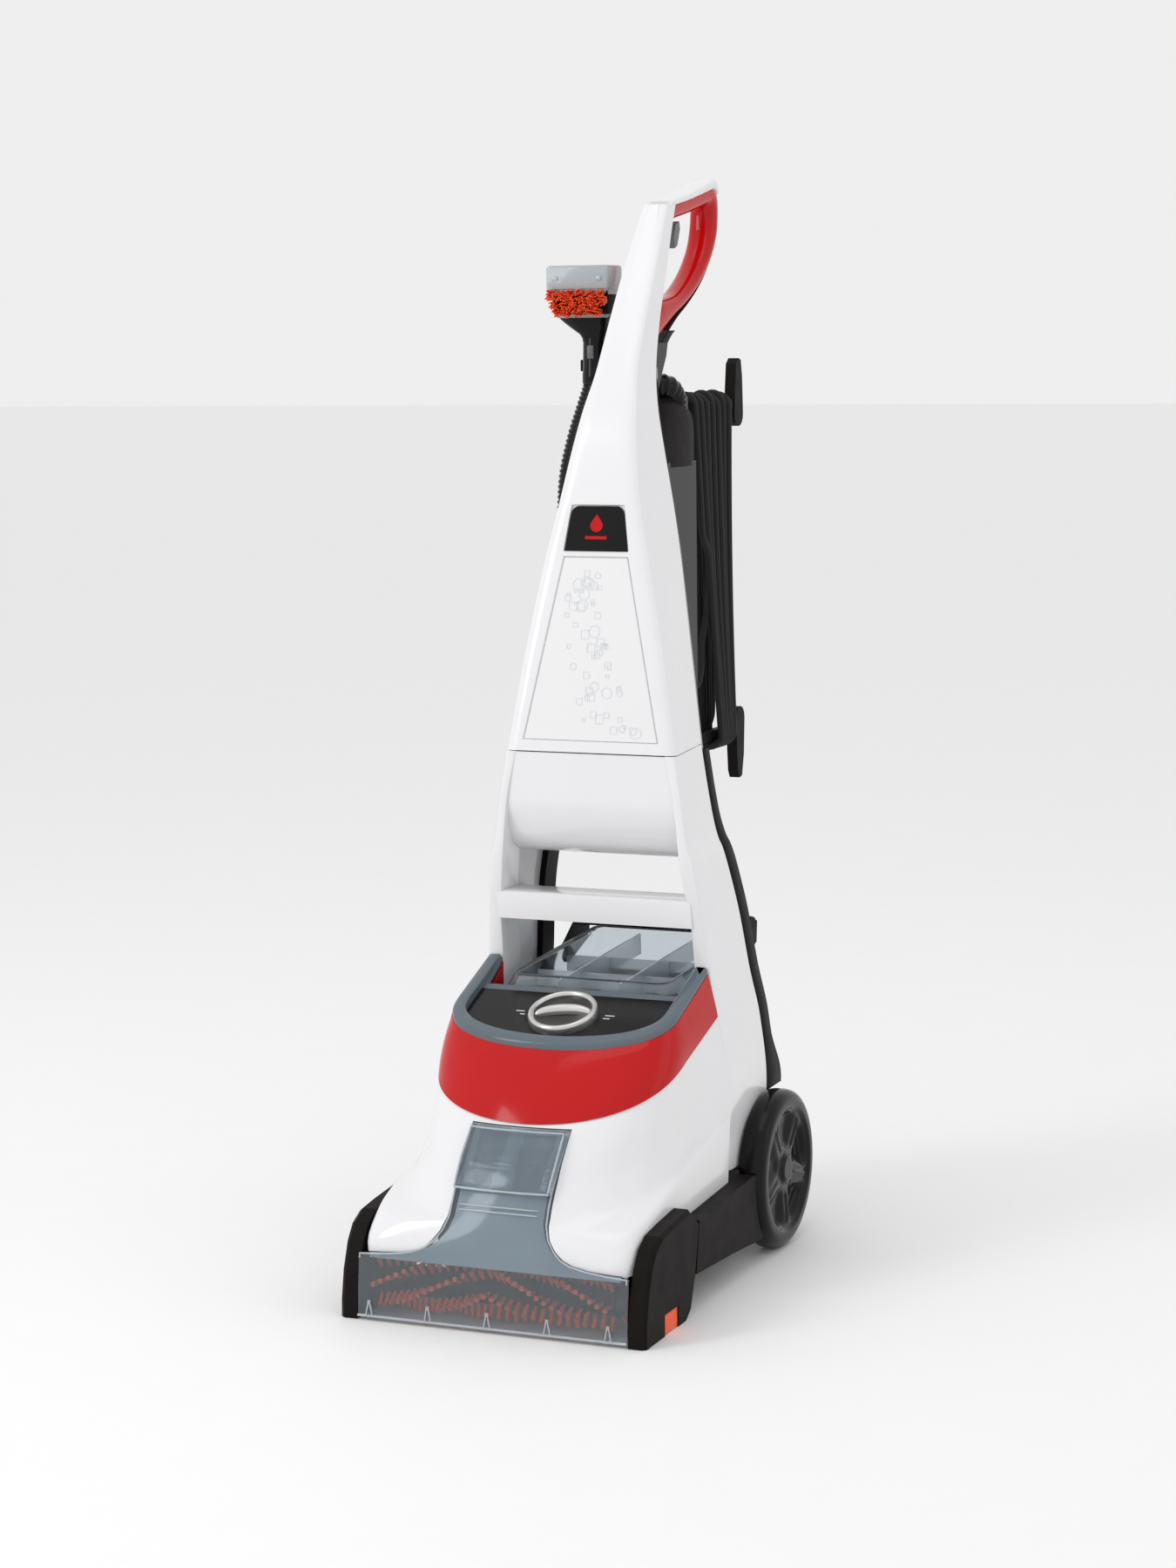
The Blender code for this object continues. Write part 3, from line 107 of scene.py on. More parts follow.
def moulding(
    name, colour, rough, mottle=0.04, grain=0.15, grain_scale=900.0, coat=0.0, metal=0.0, clear=0.0,
    ior=1.46, shine=0.5
):
    """Moulded plastic: faint flow marks in the colour and the gloss, with a fine skin texture."""
    if name in bpy.data.materials:
        return bpy.data.materials[name]
    mat = bpy.data.materials.new(name)
    mat.use_nodes = True
    tree = mat.node_tree
    skin = tree.nodes["Principled BSDF"]
    place = add_node(tree, "ShaderNodeTexCoord")
    flow = add_node(tree, "ShaderNodeTexNoise", Scale=14.0, Detail=4.0, Roughness=0.55)
    tree.links.new(place.outputs["Object"], flow.inputs["Vector"])
    blend = add_node(tree, "ShaderNodeMix", data_type="RGBA")
    blend.inputs[6].default_value = (*(c * (1 - mottle) for c in colour), 1.0)
    blend.inputs[7].default_value = (*(min(1.0, c * (1 + mottle)) for c in colour), 1.0)
    tree.links.new(flow.outputs["Fac"], blend.inputs[0])
    tree.links.new(blend.outputs[2], skin.inputs["Base Color"])
    wear = add_node(tree, "ShaderNodeTexNoise", Scale=55.0, Detail=6.0)
    tree.links.new(place.outputs["Object"], wear.inputs["Vector"])
    gloss = add_node(tree, "ShaderNodeMapRange")
    gloss.inputs["To Min"].default_value = rough * 0.8
    gloss.inputs["To Max"].default_value = min(1.0, rough * 1.3)
    tree.links.new(wear.outputs["Fac"], gloss.inputs["Value"])
    tree.links.new(gloss.outputs["Result"], skin.inputs["Roughness"])
    if grain:
        fine = add_node(tree, "ShaderNodeTexNoise", Scale=grain_scale, Detail=2.0)
        tree.links.new(place.outputs["Object"], fine.inputs["Vector"])
        bump = add_node(tree, "ShaderNodeBump", Strength=grain, Distance=0.0003)
        tree.links.new(fine.outputs["Fac"], bump.inputs["Height"])
        tree.links.new(bump.outputs["Normal"], skin.inputs["Normal"])
    skin.inputs["Coat Weight"].default_value = coat
    skin.inputs["Coat Roughness"].default_value = 0.06
    skin.inputs["Metallic"].default_value = metal
    skin.inputs["Transmission Weight"].default_value = clear
    skin.inputs["IOR"].default_value = ior
    skin.inputs["Specular IOR Level"].default_value = shine
    return mat


def white():
    return moulding("white_moulding", (0.80, 0.80, 0.815), 0.14, 0.012, 0.03, 260.0, coat=0.2)


def red():
    return moulding("red_moulding", (0.50, 0.003, 0.004), 0.13, 0.06, 0.04, 300.0, coat=0.22, shine=0.20)


def black():
    return moulding("black_moulding", (0.0110, 0.0090, 0.0085), 0.42, 0.12, 0.25, 1400.0, shine=0.05)


def gloss_black():
    return moulding(
        "gloss_black_moulding", (0.0060, 0.0060, 0.0064), 0.14, 0.10, 0.05, 500.0, coat=0.03, shine=0.20
    )


def smoke():
    return moulding("smoke_plastic", (0.72, 0.785, 0.83), 0.07, 0.03, 0.03, 200.0, clear=0.92, ior=1.30)


def dark_smoke():
    return moulding("dark_smoke_plastic", (0.21, 0.26, 0.30), 0.12, 0.04, 0.04, 200.0, clear=0.45, ior=1.35)


def bristle():
    return moulding("bristle_nylon", (0.95, 0.100, 0.016), 0.42, 0.12, 0.2, 1200.0)


def silver():
    return moulding("silver_plate", (0.66, 0.65, 0.63), 0.24, 0.04, 0.12, 1800.0, metal=0.85)


def grey():
    return moulding("grey_moulding", (0.115, 0.125, 0.135), 0.36, 0.06, 0.25, 1200.0)


def steel():
    return moulding("turned_steel", (0.56, 0.56, 0.55), 0.28, 0.05, 0.1, 900.0, metal=1.0)


def rubber():
    return moulding("cord_rubber", (0.0100, 0.0085, 0.0080), 0.36, 0.15, 0.20, 1600.0, shine=0.28)


# ---- mesh helpers -------------------------------------------------------
def mesh_object(name, bm, sharp=40.0):
    """Merges doubled points, turns the faces out and shades them smooth up to an angle."""
    bmesh.ops.remove_doubles(bm, verts=bm.verts, dist=1e-6)
    bmesh.ops.recalc_face_normals(bm, faces=bm.faces)
    for face in bm.faces:
        face.smooth = True
    mesh = bpy.data.meshes.new(name)
    bm.to_mesh(mesh)
    bm.free()
    mesh.set_sharp_from_angle(angle=math.radians(sharp))
    piece = bpy.data.objects.new(name, mesh)
    bpy.context.scene.collection.objects.link(piece)
    return piece


def fit(piece, mat, body, slot_name, *stands_for):
    """Gives a piece its finish and its body, and hides the CAD nodes it stands for."""
    piece.data.materials.clear()
    piece.data.materials.append(mat)
    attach(piece, body)
    if stands_for:
        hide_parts(*stands_for)
    return piece


def soften(piece, width):
    """A small round on every hard edge."""
    bevel = piece.modifiers.new("round", "BEVEL")
    bevel.width = width
    bevel.segments = 3
    bevel.limit_method = "ANGLE"
    bevel.angle_limit = math.radians(35)
    bevel.use_clamp_overlap = True
    bevel.harden_normals = True
    return piece


def wrapped(name, sections, capped=True, looped=False, sharp=40.0):
    """A skin laid over a run of cross-sections with the same number of points."""
    around, runs = len(sections[0]) + 1, len(sections)
    sections = [[*section, section[0]] for section in sections]
    if looped:
        sections = [*sections, sections[0]]
        runs += 1
    bm = bmesh.new()
    bmesh.ops.create_grid(bm, x_segments=around - 1, y_segments=runs - 1, size=0.5)
    for vert in bm.verts:
        i = round((vert.co.x + 0.5) * (around - 1))
        j = round((vert.co.y + 0.5) * (runs - 1))
        vert.co = sections[j][i]
    bmesh.ops.remove_doubles(bm, verts=bm.verts, dist=1e-6)
    if capped:
        bmesh.ops.holes_fill(bm, edges=bm.edges, sides=0)
    return mesh_object(name, bm, sharp)


def mix(a, b, t):
    return a + (b - a) * t


def smooth_rows(table, count):
    """Rows at even steps of the first column, on a monotone cubic through the table's rows."""
    rows = sorted(table)
    slopes = [
        [(b - a) / (high[0] - low[0]) for a, b in zip(low, high)] for low, high in zip(rows, rows[1:])
    ]
    tangents = [slopes[0]]
    for before, after in zip(slopes, slopes[1:]):
        tangents.append([0.0 if p * q <= 0 else 2 * p * q / (p + q) for p, q in zip(before, after)])
    tangents.append(slopes[-1])
    out = []
    for k in range(count + 1):
        z = mix(rows[0][0], rows[-1][0], k / count)
        index = max(i for i in range(len(rows) - 1) if rows[i][0] <= z + 1e-9)
        low, high = rows[index], rows[index + 1]
        span = high[0] - low[0]
        t = min(1.0, (z - low[0]) / span)
        row = []
        for c in range(len(low)):
            a, b = low[c], high[c]
            ma, mb = tangents[index][c] * span, tangents[index + 1][c] * span
            cube = (2 * t**3 - 3 * t * t + 1) * a + (t**3 - 2 * t * t + t) * ma
            row.append(cube + (3 * t * t - 2 * t**3) * b + (t**3 - t * t) * mb)
        row[0] = z
        out.append(row)
    return out


def row_at(rows, z):
    """Straight lookup in rows that start with the height."""
    if z <= rows[0][0]:
        return rows[0]
    for low, high in zip(rows, rows[1:]):
        if z <= high[0]:
            t = (z - low[0]) / (high[0] - low[0])
            return [mix(a, b, t) for a, b in zip(low, high)]
    return rows[-1]


def smooth_path(points, step):
    """Even points along a Catmull-Rom curve through the given ones."""
    path = [Vector(p) for p in points]
    path = [path[0] * 2 - path[1], *path, path[-1] * 2 - path[-2]]
    fine = []
    for p0, p1, p2, p3 in zip(path, path[1:], path[2:], path[3:]):
        for k in range(24):
            t = k / 24
            a = p1 * 2 + (p2 - p0) * t
            b = (p0 * 2 - p1 * 5 + p2 * 4 - p3) * t * t
            c = (p1 * 3 - p0 - p2 * 3 + p3) * t * t * t
            fine.append((a + b + c) * 0.5)
    fine.append(path[-2])
    out = [fine[0]]
    run = 0.0
    for a, b in zip(fine, fine[1:]):
        gap = (b - a).length
        while run + gap >= step:
            a = a + (b - a) * ((step - run) / gap)
            gap = (b - a).length
            out.append(a)
            run = 0.0
        run += gap
    return out


def swept(name, path, radius_at, sides=18, sharp=60.0):
    """A round skin along a path; radius_at gives the radius at each point's number."""
    sections = []
    side = Vector((0.0, 1.0, 0.0))
    for i, here in enumerate(path):
        ahead = (path[min(i + 1, len(path) - 1)] - path[max(i - 1, 0)]).normalized()
        side = (side - ahead * side.dot(ahead)).normalized()
        up = ahead.cross(side)
        r = radius_at(i)
        ring = []
        for k in range(sides):
            angle = 2 * math.pi * k / sides
            ring.append(here + side * (r * math.cos(angle)) + up * (r * math.sin(angle)))
        sections.append(ring)
    return wrapped(name, sections, sharp=sharp)


def block(name, low, high, width=0.0015, segments=3):
    """A box with rounded edges."""
    bm = bmesh.new()
    size = [h - l for l, h in zip(low, high)]
    centre = [(h + l) / 2 for l, h in zip(low, high)]
    bmesh.ops.create_cube(bm, size=1.0, matrix=Matrix.Translation(centre) @ Matrix.Diagonal((*size, 1.0)))
    bmesh.ops.bevel(
        bm, geom=bm.edges[:], offset=width, segments=segments, profile=0.5, affect="EDGES", material=-1
    )
    return mesh_object(name, bm)


# ---- power cord ---------------------------------------------------------
LEAD = [
    (0.0000, 0.1965, 0.5600), (0.0000, 0.2060, 0.5600), (0.0000, 0.2190, 0.5650),
    (0.0000, 0.2270, 0.5800), (0.0000, 0.2290, 0.6050), (0.0000, 0.2290, 0.6400),
]
TAIL = [
    (-0.0150, 0.2975, 0.5200), (-0.0190, 0.2920, 0.5080), (-0.0240, 0.2800, 0.5060),
    (-0.0275, 0.2680, 0.5200), (-0.0285, 0.2620, 0.5500), (-0.0285, 0.2610, 0.6060),
]
TURNS = 7
TURN_RADIUS = 0.0135
TOP_Z, LOW_Z = 0.8585, 0.5045


def turn_points(number):
    """One turn of the winding: up the near side, over the top stem and down the far side."""
    top_y = [mix(0.1790, 0.2960, (number + s) / TURNS) for s in (0.0, 0.5, 1.0)]
    low_y = [mix(0.2440, 0.2980, (number + s) / TURNS) for s in (0.0, 0.5, 1.0)]
    bow = 0.0012 * math.sin(number * 2.1)
    lift = 0.0020 * math.sin(number * 2.6 + 0.5)
    points = []
    for k in range(9):
        t = k / 8
        y = mix(low_y[0], top_y[0], t)
        points.append((TURN_RADIUS - 0.002 * math.sin(math.pi * t) + bow * math.sin(math.pi * t), y, mix(LOW_Z, TOP_Z, t)))
    for k in range(1, 6):
        angle = math.pi * k / 6
        y = mix(top_y[0], top_y[1], k / 6)
        points.append((TURN_RADIUS * math.cos(angle), y, TOP_Z + (TURN_RADIUS + lift) * math.sin(angle)))
    for k in range(9):
        t = k / 8
        y = mix(top_y[1], low_y[1], t)
        points.append((-TURN_RADIUS + 0.002 * math.sin(math.pi * t) + bow * math.sin(math.pi * t), y, mix(TOP_Z, LOW_Z, t)))
    for k in range(1, 6):
        angle = math.pi + math.pi * k / 6
        y = mix(low_y[1], low_y[2], k / 6)
        points.append((TURN_RADIUS * math.cos(angle), y, LOW_Z + TURN_RADIUS * math.sin(angle)))
    return points


def power_cord():
    points = LEAD[:-1] + [(0.0060, 0.2290, 0.6400), (0.0115, 0.2200, 0.7000)]
    for number in range(TURNS):
        turn = turn_points(number)
        points += turn[5:] if number == 0 else turn
    return points[:-6] + TAIL


def build_cord():
    path = smooth_path(power_cord(), 0.004)
    data = bpy.data.curves.new("power_cord", "CURVE")
    data.dimensions = "3D"
    data.bevel_depth = CORD_D / 2
    data.bevel_resolution = 3
    data.use_fill_caps = True
    spline = data.splines.new("POLY")
    spline.points.add(len(path) - 1)
    for point, place in zip(spline.points, path):
        point.co = (*place, 1.0)
    cord = bpy.data.objects.new("power_cord", data)
    bpy.context.scene.collection.objects.link(cord)
    fit(cord, rubber(), "handle", "cord_rubber", "cord_coil", "cord_lead", "cord_tail")


# ---- handle frame -------------------------------------------------------
SPINE = [  # height, front y, half width at the front, back y, half width at the back
    (0.5237, -0.0880, 0.0915, 0.0200, 0.0785), (0.6300, -0.0765, 0.0735, 0.0215, 0.0665),
    (0.7200, -0.0660, 0.0555, 0.0250, 0.0550), (0.7700, -0.0580, 0.0445, 0.0280, 0.0465),
    (0.8200, -0.0455, 0.0360, 0.0300, 0.0370), (0.8600, -0.0300, 0.0300, 0.0330, 0.0295),
    (0.9030, -0.0080, 0.0230, 0.0430, 0.0235), (0.9500, 0.0200, 0.0205, 0.0600, 0.0210),
    (1.0000, 0.0530, 0.0185, 0.0850, 0.0190), (1.0400, 0.0810, 0.0160, 0.1060, 0.0165),
    (1.0690, 0.1015, 0.0138, 0.1245, 0.0142),
]
SPINE_ROWS = smooth_rows(SPINE, 90)
PANEL_LOW, PANEL_HIGH = 0.5345, 0.7180
BADGE_LOW, BADGE_HIGH = 0.7230, 0.7690
RECESS = 0.0024


def inlay_half(z):
    """Half width of the recess for the panel and, above it, for the badge."""
    if z <= PANEL_HIGH:
        return mix(0.0735, 0.0350, (z - PANEL_LOW) / (PANEL_HIGH - PANEL_LOW))
    if z <= BADGE_HIGH:
        return mix(0.0352, 0.0285, (z - BADGE_LOW) / (BADGE_HIGH - BADGE_LOW))
    return mix(0.0250, 0.0060, min(1.0, (z - BADGE_HIGH) / 0.15))


def spine_section(z, depth):
    _, front, half, back, rear = row_at(SPINE_ROWS, z)
    inset = inlay_half(z)
    wall = 0.0032
    outer = [
        (0.0, front + depth), (inset * 0.5, front + depth), (
            inset - 0.0012, front + depth
        ), (inset, front + depth * 0.06),
        (
            mix(inset, half - 0.0085, 0.5), front
        ), (half - 0.0085, front + 0.0002), (half - 0.0035, front + 0.0014),
        (half - 0.0008, front + 0.0040), (half, front + 0.0080), (
            mix(half, rear, 0.4), mix(front + 0.008, back, 0.4)
        ),
        (mix(half, rear, 0.8) + 0.0006, mix(front + 0.008, back, 0.8)), (rear, back),
    ]
    inner = [(max(0.0, x - wall), min(back, y + wall)) for x, y in reversed(outer)]
    right = outer + inner
    return [(x, y, z) for x, y in right] + [(-x, y, z) for x, y in right[-2:0:-1]]


def spine_shell():
    heights = [row[0] for row in SPINE_ROWS]
    steps = [(z, 0.0) for z in heights]
    for low, high in ((PANEL_LOW, PANEL_HIGH), (BADGE_LOW, BADGE_HIGH)):
        steps = [(z, RECESS if low < z < high else d) for z, d in steps]
        steps += [(low, 0.0), (low + 0.0010, RECESS), (high - 0.0010, RECESS), (high, 0.0)]
    steps.sort()
    steps = [s for i, s in enumerate(steps) if i == 0 or s[0] - steps[i - 1][0] > 0.0004]
    shell = wrapped("spine_shell", [spine_section(z, d) for z, d in steps], sharp=32)
    return fit(shell, white(), "handle", "white_gloss", "upper_frame")


def plate_sections(low, high, half_at, proud, thick, steps=24):
    """Cross-sections of a thin plate that follows the spine's front face."""
    sections = []
    for k in range(steps + 1):
        z = mix(low, high, k / steps)
        face = row_at(SPINE_ROWS, z)[1] + proud
        half = half_at(z)
        edge = min(0.0006, half * 0.3)
        front = [
            (-half, face + edge), (-half + edge, face), (0.0, face), (half - edge, face),
            (half, face + edge)
        ]
        sections.append([(x, y, z) for x, y in front] + [(half, face + thick, z), (-half, face + thick, z)])
    return sections


def panel_half(z):
    return inlay_half(z) - 0.0016


def badge_half(z):
    corner = 0.0075
    rise = max(0.0, z - (BADGE_HIGH - 0.0012 - corner))
    return inlay_half(z) - 0.0014 - (corner - math.sqrt(max(0.0, corner**2 - rise**2)))


def spine_inlays():
    panel = wrapped(
        "panel_plate",
        plate_sections(PANEL_LOW + 0.0012, PANEL_HIGH - 0.0012, panel_half, 0.0009, 0.0013), sharp=30
    )
    fit(panel, panel_white(), "handle", "white_gloss", "accent_panel")
    badge = wrapped(
        "badge_plate",
        plate_sections(BADGE_LOW + 0.0006, BADGE_HIGH - 0.0014, badge_half, -0.0010, 0.0030, 30),
        sharp=30
    )
    fit(badge, gloss_black(), "handle", "black_plastic", "badge")


def panel_white():
    return moulding("panel_moulding", (0.80, 0.80, 0.81), 0.22, 0.01, 0.06, 320.0, coat=0.1)


def face_frame(z, proud):
    """Place and tilt of a small flat shape laid on the spine's front face at height z."""
    here, above = row_at(SPINE_ROWS, z), row_at(SPINE_ROWS, z + 0.005)
    lean = math.atan2(above[1] - here[1], 0.005)
    return Matrix.Translation((0.0, here[1] + proud, z)) @ Matrix.Rotation(math.pi / 2 - lean, 4, "X")


def outline_shape(bm, matrix, radius, sides, wide, high):
    """A thin closed outline, standing a little proud."""
    rings = []
    for reach, up in (
        (radius - wide, 0.0), (radius - wide, high), (radius + wide, high), (radius + wide, 0.0)
    ):
        around = [2 * math.pi * k / sides for k in range(sides)]
        rings.append([bm.verts.new(matrix @ Vector((reach * math.cos(a), reach * math.sin(a), up))) for a in around])
    for k in range(4):
        one, two = rings[k], rings[(k + 1) % 4]
        for m in range(sides):
            after = (m + 1) % sides
            bm.faces.new((one[m], one[after], two[after], two[m]))


def panel_motif():
    """Faint squares and rings, placed at random, that drift down the panel."""
    draw = random.Random(11)
    bm = bmesh.new()
    for _ in range(58):
        t = draw.random() ** 0.9
        z = mix(0.7080, 0.5440, t)
        half = inlay_half(z) - 0.010
        x = (mix(-0.45, 0.25, t) + draw.uniform(-0.55, 0.55)) * half
        radius = draw.uniform(0.0020, 0.0062)
        sides = 4 if draw.random() < 0.68 else 28
        turn = Matrix.Rotation(math.radians(45 if sides == 4 else 0), 4, "Z")
        outline_shape(
            bm, Matrix.Translation((x, 0.0, 0.0)) @ face_frame(z, 0.0008) @ turn, radius, sides,
            0.00035, 0.00025
        )
    motif = mesh_object("panel_motif", bm)
    fit(motif, moulding("motif_moulding", (0.73, 0.745, 0.765), 0.3, 0.02, 0.0), "handle", "white_gloss")


def badge_mark():
    """A plain drop shape with a bar under it, in red."""
    bm = bmesh.new()
    frame_at = face_frame(0.7490, -0.0011)
    made = bmesh.ops.create_circle(bm, cap_ends=True, segments=40, radius=0.0068, matrix=Matrix.Identity(4))
    for vert in made["verts"]:
        if vert.co.y > 0:
            vert.co.x *= 1 - 0.75 * (vert.co.y / 0.0068) ** 1.3
            vert.co.y *= 1.55
    bmesh.ops.create_grid(
        bm, x_segments=1, y_segments=1, size=1.0,
        matrix=Matrix.Translation((0.0, -0.0125, 0.0)) @ Matrix.Diagonal((0.0115, 0.0016, 1.0, 1.0))
    )
    bmesh.ops.solidify(bm, geom=bm.faces[:], thickness=0.0004)
    bmesh.ops.transform(bm, matrix=frame_at, verts=bm.verts)
    fit(mesh_object("badge_mark", bm), red(), "handle", "red_gloss")


LEG = [  # height, front y, inner half width, half width at the crease, back y, half width at the back
    (0.1000, -0.0500, 0.1040, 0.1330, 0.0560, 0.1330), (0.1300, -0.0640, 0.1040, 0.1335, 0.0570, 0.1330),
    (0.1750, -0.0720, 0.1040, 0.1420, 0.0560, 0.1345), (0.2400, -0.0710, 0.1040, 0.1320, 0.0520, 0.1290),
    (0.2900, -0.0710, 0.1040, 0.1240, 0.0440, 0.1210), (0.3500, -0.0780, 0.1030, 0.1175, 0.0330, 0.1140),
    (0.3900, -0.0860, 0.0985, 0.1135, 0.0260, 0.1070), (0.4240, -0.0900, 0.0945, 0.1085, 0.0218, 0.0980),
    (0.4270, -0.0902, 0.0942, 0.1062, 0.0214, 0.0962), (0.4700, -0.0905, 0.0900, 0.1000, 0.0200, 0.0870),
    (0.5229, -0.0880, 0.0800, 0.0915, 0.0200, 0.0785),
]


def leg_section(row, side):
    z, front, inner, crease, back, rear = row
    wall = 0.0034
    ring = [
        (inner, front + 0.0020), (
            inner + 0.0008, front + 0.0006
        ), (inner + 0.0028, front), (crease - 0.0042, front),
        (crease - 0.0016, front + 0.0007), (crease - 0.0003, front + 0.0026), (crease, front + 0.0060),
        (mix(crease, rear, 0.5), mix(front + 0.006, back, 0.5)), (rear, back), (rear - wall, back),
        (mix(crease, rear, 0.5) - wall, mix(front + 0.010, back, 0.5)), (crease - wall, front + 0.0095),
        (inner + wall, front + 0.0060), (inner + wall, front + 0.0420), (inner, front + 0.0420),
    ]
    return [(side * x, y, z) for x, y in ring]


def lower_shell():
    rows = smooth_rows(LEG, 70)
    legs = []
    for side, name in ((1, "leg_shell_left"), (-1, "leg_shell_right")):
        legs.append(wrapped(name, [leg_section(row, side) for row in rows], sharp=32))
    fit(legs[0], white(), "handle", "white_gloss", "lower_frame")
    fit(legs[1], white(), "handle", "white_gloss")
    top, bar = 0.3790, 0.3500
    section = [
        (-0.0780, bar), (-0.0800, bar + 0.0004), (-0.0838, top - 0.0045), (-0.0834, top - 0.0018), (
            -0.0815, top - 0.0003
        ),
        (-0.0780, top), (-0.0480, top + 0.0010), (-0.0455, top - 0.0006), (-0.0455, top - 0.0040), (
            -0.0740, top - 0.0050
        ),
        (-0.0740, bar),
    ]
    rail = wrapped(
        "cross_rail", [[(x, y, z) for y, z in section] for x in (-0.1052, -0.05, 0.0, 0.05, 0.1052)],
        sharp=35
    )
    fit(rail, white(), "handle", "white_gloss")
    face = [(-0.0868, 0.5224), (-0.0872, 0.5000), (-0.0872, 0.4740), (-0.0862, 0.4660), (-0.0820, 0.4545)]
    for k in range(1, 9):
        angle = math.radians(10 + 10 * k)
        face.append((-0.0300 - 0.0500 * math.cos(angle) ** 1.15, 0.4145 + 0.0400 * (1 - math.sin(angle)) ** 1.05))
    back = [(y + 0.0030, z + 0.0035) for y, z in reversed(face[1:])] + [(-0.0838, 0.5224)]
    sections = []
    for x in (-1.0, -0.5, 0.0, 0.5, 1.0):
        sections.append([(x * mix(0.0880, 0.0950, (0.5224 - z) / 0.108), y, z) for y, z in face + back])
    panel = wrapped("name_panel", sections, sharp=28)
    fit(panel, white(), "handle", "white_gloss")


# ---- loop grip ----------------------------------------------------------
GRIP = [  # outer point and inner point of the loop, in the plane of the handle
    ((0.1150, 1.0705), (0.1180, 1.0500)), ((0.1400, 1.0740), (0.1390, 1.0545)), (
        (0.1700, 1.0785), (0.1660, 1.0590)
    ),
    ((0.2000, 1.0840), (0.1930, 1.0640)), ((0.2300, 1.0900), (0.2160, 1.0685)), (
        (0.2480, 1.0930), (0.2265, 1.0700)
    ),
    ((0.2560, 1.0860), (0.2315, 1.0660)), ((0.2568, 1.0700), (0.2325, 1.0580)), (
        (0.2540, 1.0480), (0.2300, 1.0450)
    ),
    ((0.2460, 1.0290), (0.2220, 1.0300)), ((0.2320, 1.0110), (0.2080, 1.0150)), (
        (0.2120, 0.9940), (0.1900, 1.0010)
    ),
    ((0.1880, 0.9790), (0.1690, 0.9890)), ((0.1600, 0.9650), (0.1450, 0.9790)), (
        (0.1300, 0.9520), (0.1200, 0.9740)
    ),
    ((0.1000, 0.9360), (0.0980, 0.9720)), ((0.0760, 0.9220), (0.0840, 0.9680)),
]


def grip_section(outer, inner, half):
    """Rounded section between the loop's outer and inner lines."""
    ring = []
    for k in range(24):
        angle = 2 * math.pi * k / 24
        across = math.copysign(abs(math.sin(angle)) ** 0.92, math.sin(angle))
        t = 0.5 + 0.5 * math.copysign(abs(math.cos(angle)) ** 0.92, math.cos(angle))
        ring.append((half * across, mix(outer[0], inner[0], t), mix(outer[1], inner[1], t)))
    return ring


def spline_at(points, t):
    """Catmull-Rom through 2-D points at a real-valued index."""
    last = len(points) - 1
    i = min(int(t), last - 1)
    u = t - i
    p0, p1, p2, p3 = (points[min(max(k, 0), last)] for k in (i - 1, i, i + 1, i + 2))
    out = []
    for a, b, c, d in zip(p0, p1, p2, p3):
        out.append(
            0.5
            * (2 * b + (c - a) * u + (2 * a - 5 * b + 4 * c - d) * u * u + (3 * b - a - 3 * c + d) * u**3)
        )
    return out


def loop_grip():
    sections = []
    outer = [a for a, b in GRIP]
    inner = [b for a, b in GRIP]
    for k in range(73):
        t = k / 72 * (len(GRIP) - 1)
        half = mix(0.0128, 0.0152, min(1.0, t / 8)) if t < 8 else mix(0.0152, 0.0125, (t - 8) / 8)
        sections.append(grip_section(spline_at(outer, t), spline_at(inner, t), half))
    grip = wrapped("loop_grip", sections, sharp=50)
    fit(grip, red(), "handle", "red_gloss", "hand_grip")
    back = []
    for k in range(50):
        t = mix(6.2, 15.9, k / 49)
        a, b = spline_at(outer, t), spline_at(inner, t)
        out = Vector((a[0] - b[0], a[1] - b[1])).normalized()
        thick = mix(0.0012, 0.0075, max(0.0, (t - 8) / 8) ** 1.4)
        half = mix(0.0100, 0.0135, k / 49)
        ring = []
        for m in range(16):
            angle = 2 * math.pi * m / 16
            grow = thick * 0.5 * (1 + math.cos(angle)) - 0.0040
            ring.append((half * math.sin(angle), a[0] + out.x * grow, a[1] + out.y * grow))
        back.append(ring)
    fit(wrapped("grip_back", back, sharp=50), black(), "handle", "black_plastic")
    top = []
    for k in range(30):
        t = mix(0.0, 5.9, k / 29)
        a, b = spline_at(outer, t), spline_at(inner, t)
        lift = mix(0.0022, 0.0078, k / 29) if k < 24 else mix(0.0078, 0.0050, (k - 24) / 5)
        half = mix(0.0138, 0.0125, k / 29)
        low = mix(a[1], b[1], 0.22)
        ring = []
        for m in range(20):
            angle = 2 * math.pi * m / 20
            z = mix(
                low, a[1] + lift,
                0.5 + 0.5 * math.copysign(abs(math.cos(angle)) ** 0.5, math.cos(angle))
            )
            ring.append((half * math.copysign(abs(math.sin(angle)) ** 0.6, math.sin(angle)), a[0], min(z, 1.0998)))
        top.append(ring)
    fit(wrapped("grip_top", top, sharp=50), white(), "handle", "white_gloss", "grip_cap")


# ---- foot ---------------------------------------------------------------
SLOPE = 0.39
HOOD_MID = -0.1500
WING_BACK = -0.0745
NOTCH_BACK = -0.1085
NOTCH_HALF = 0.1030
ARCH_STEPS = 60
REAR_DROP = 0.0085  # how far the deck dips at its rear bar


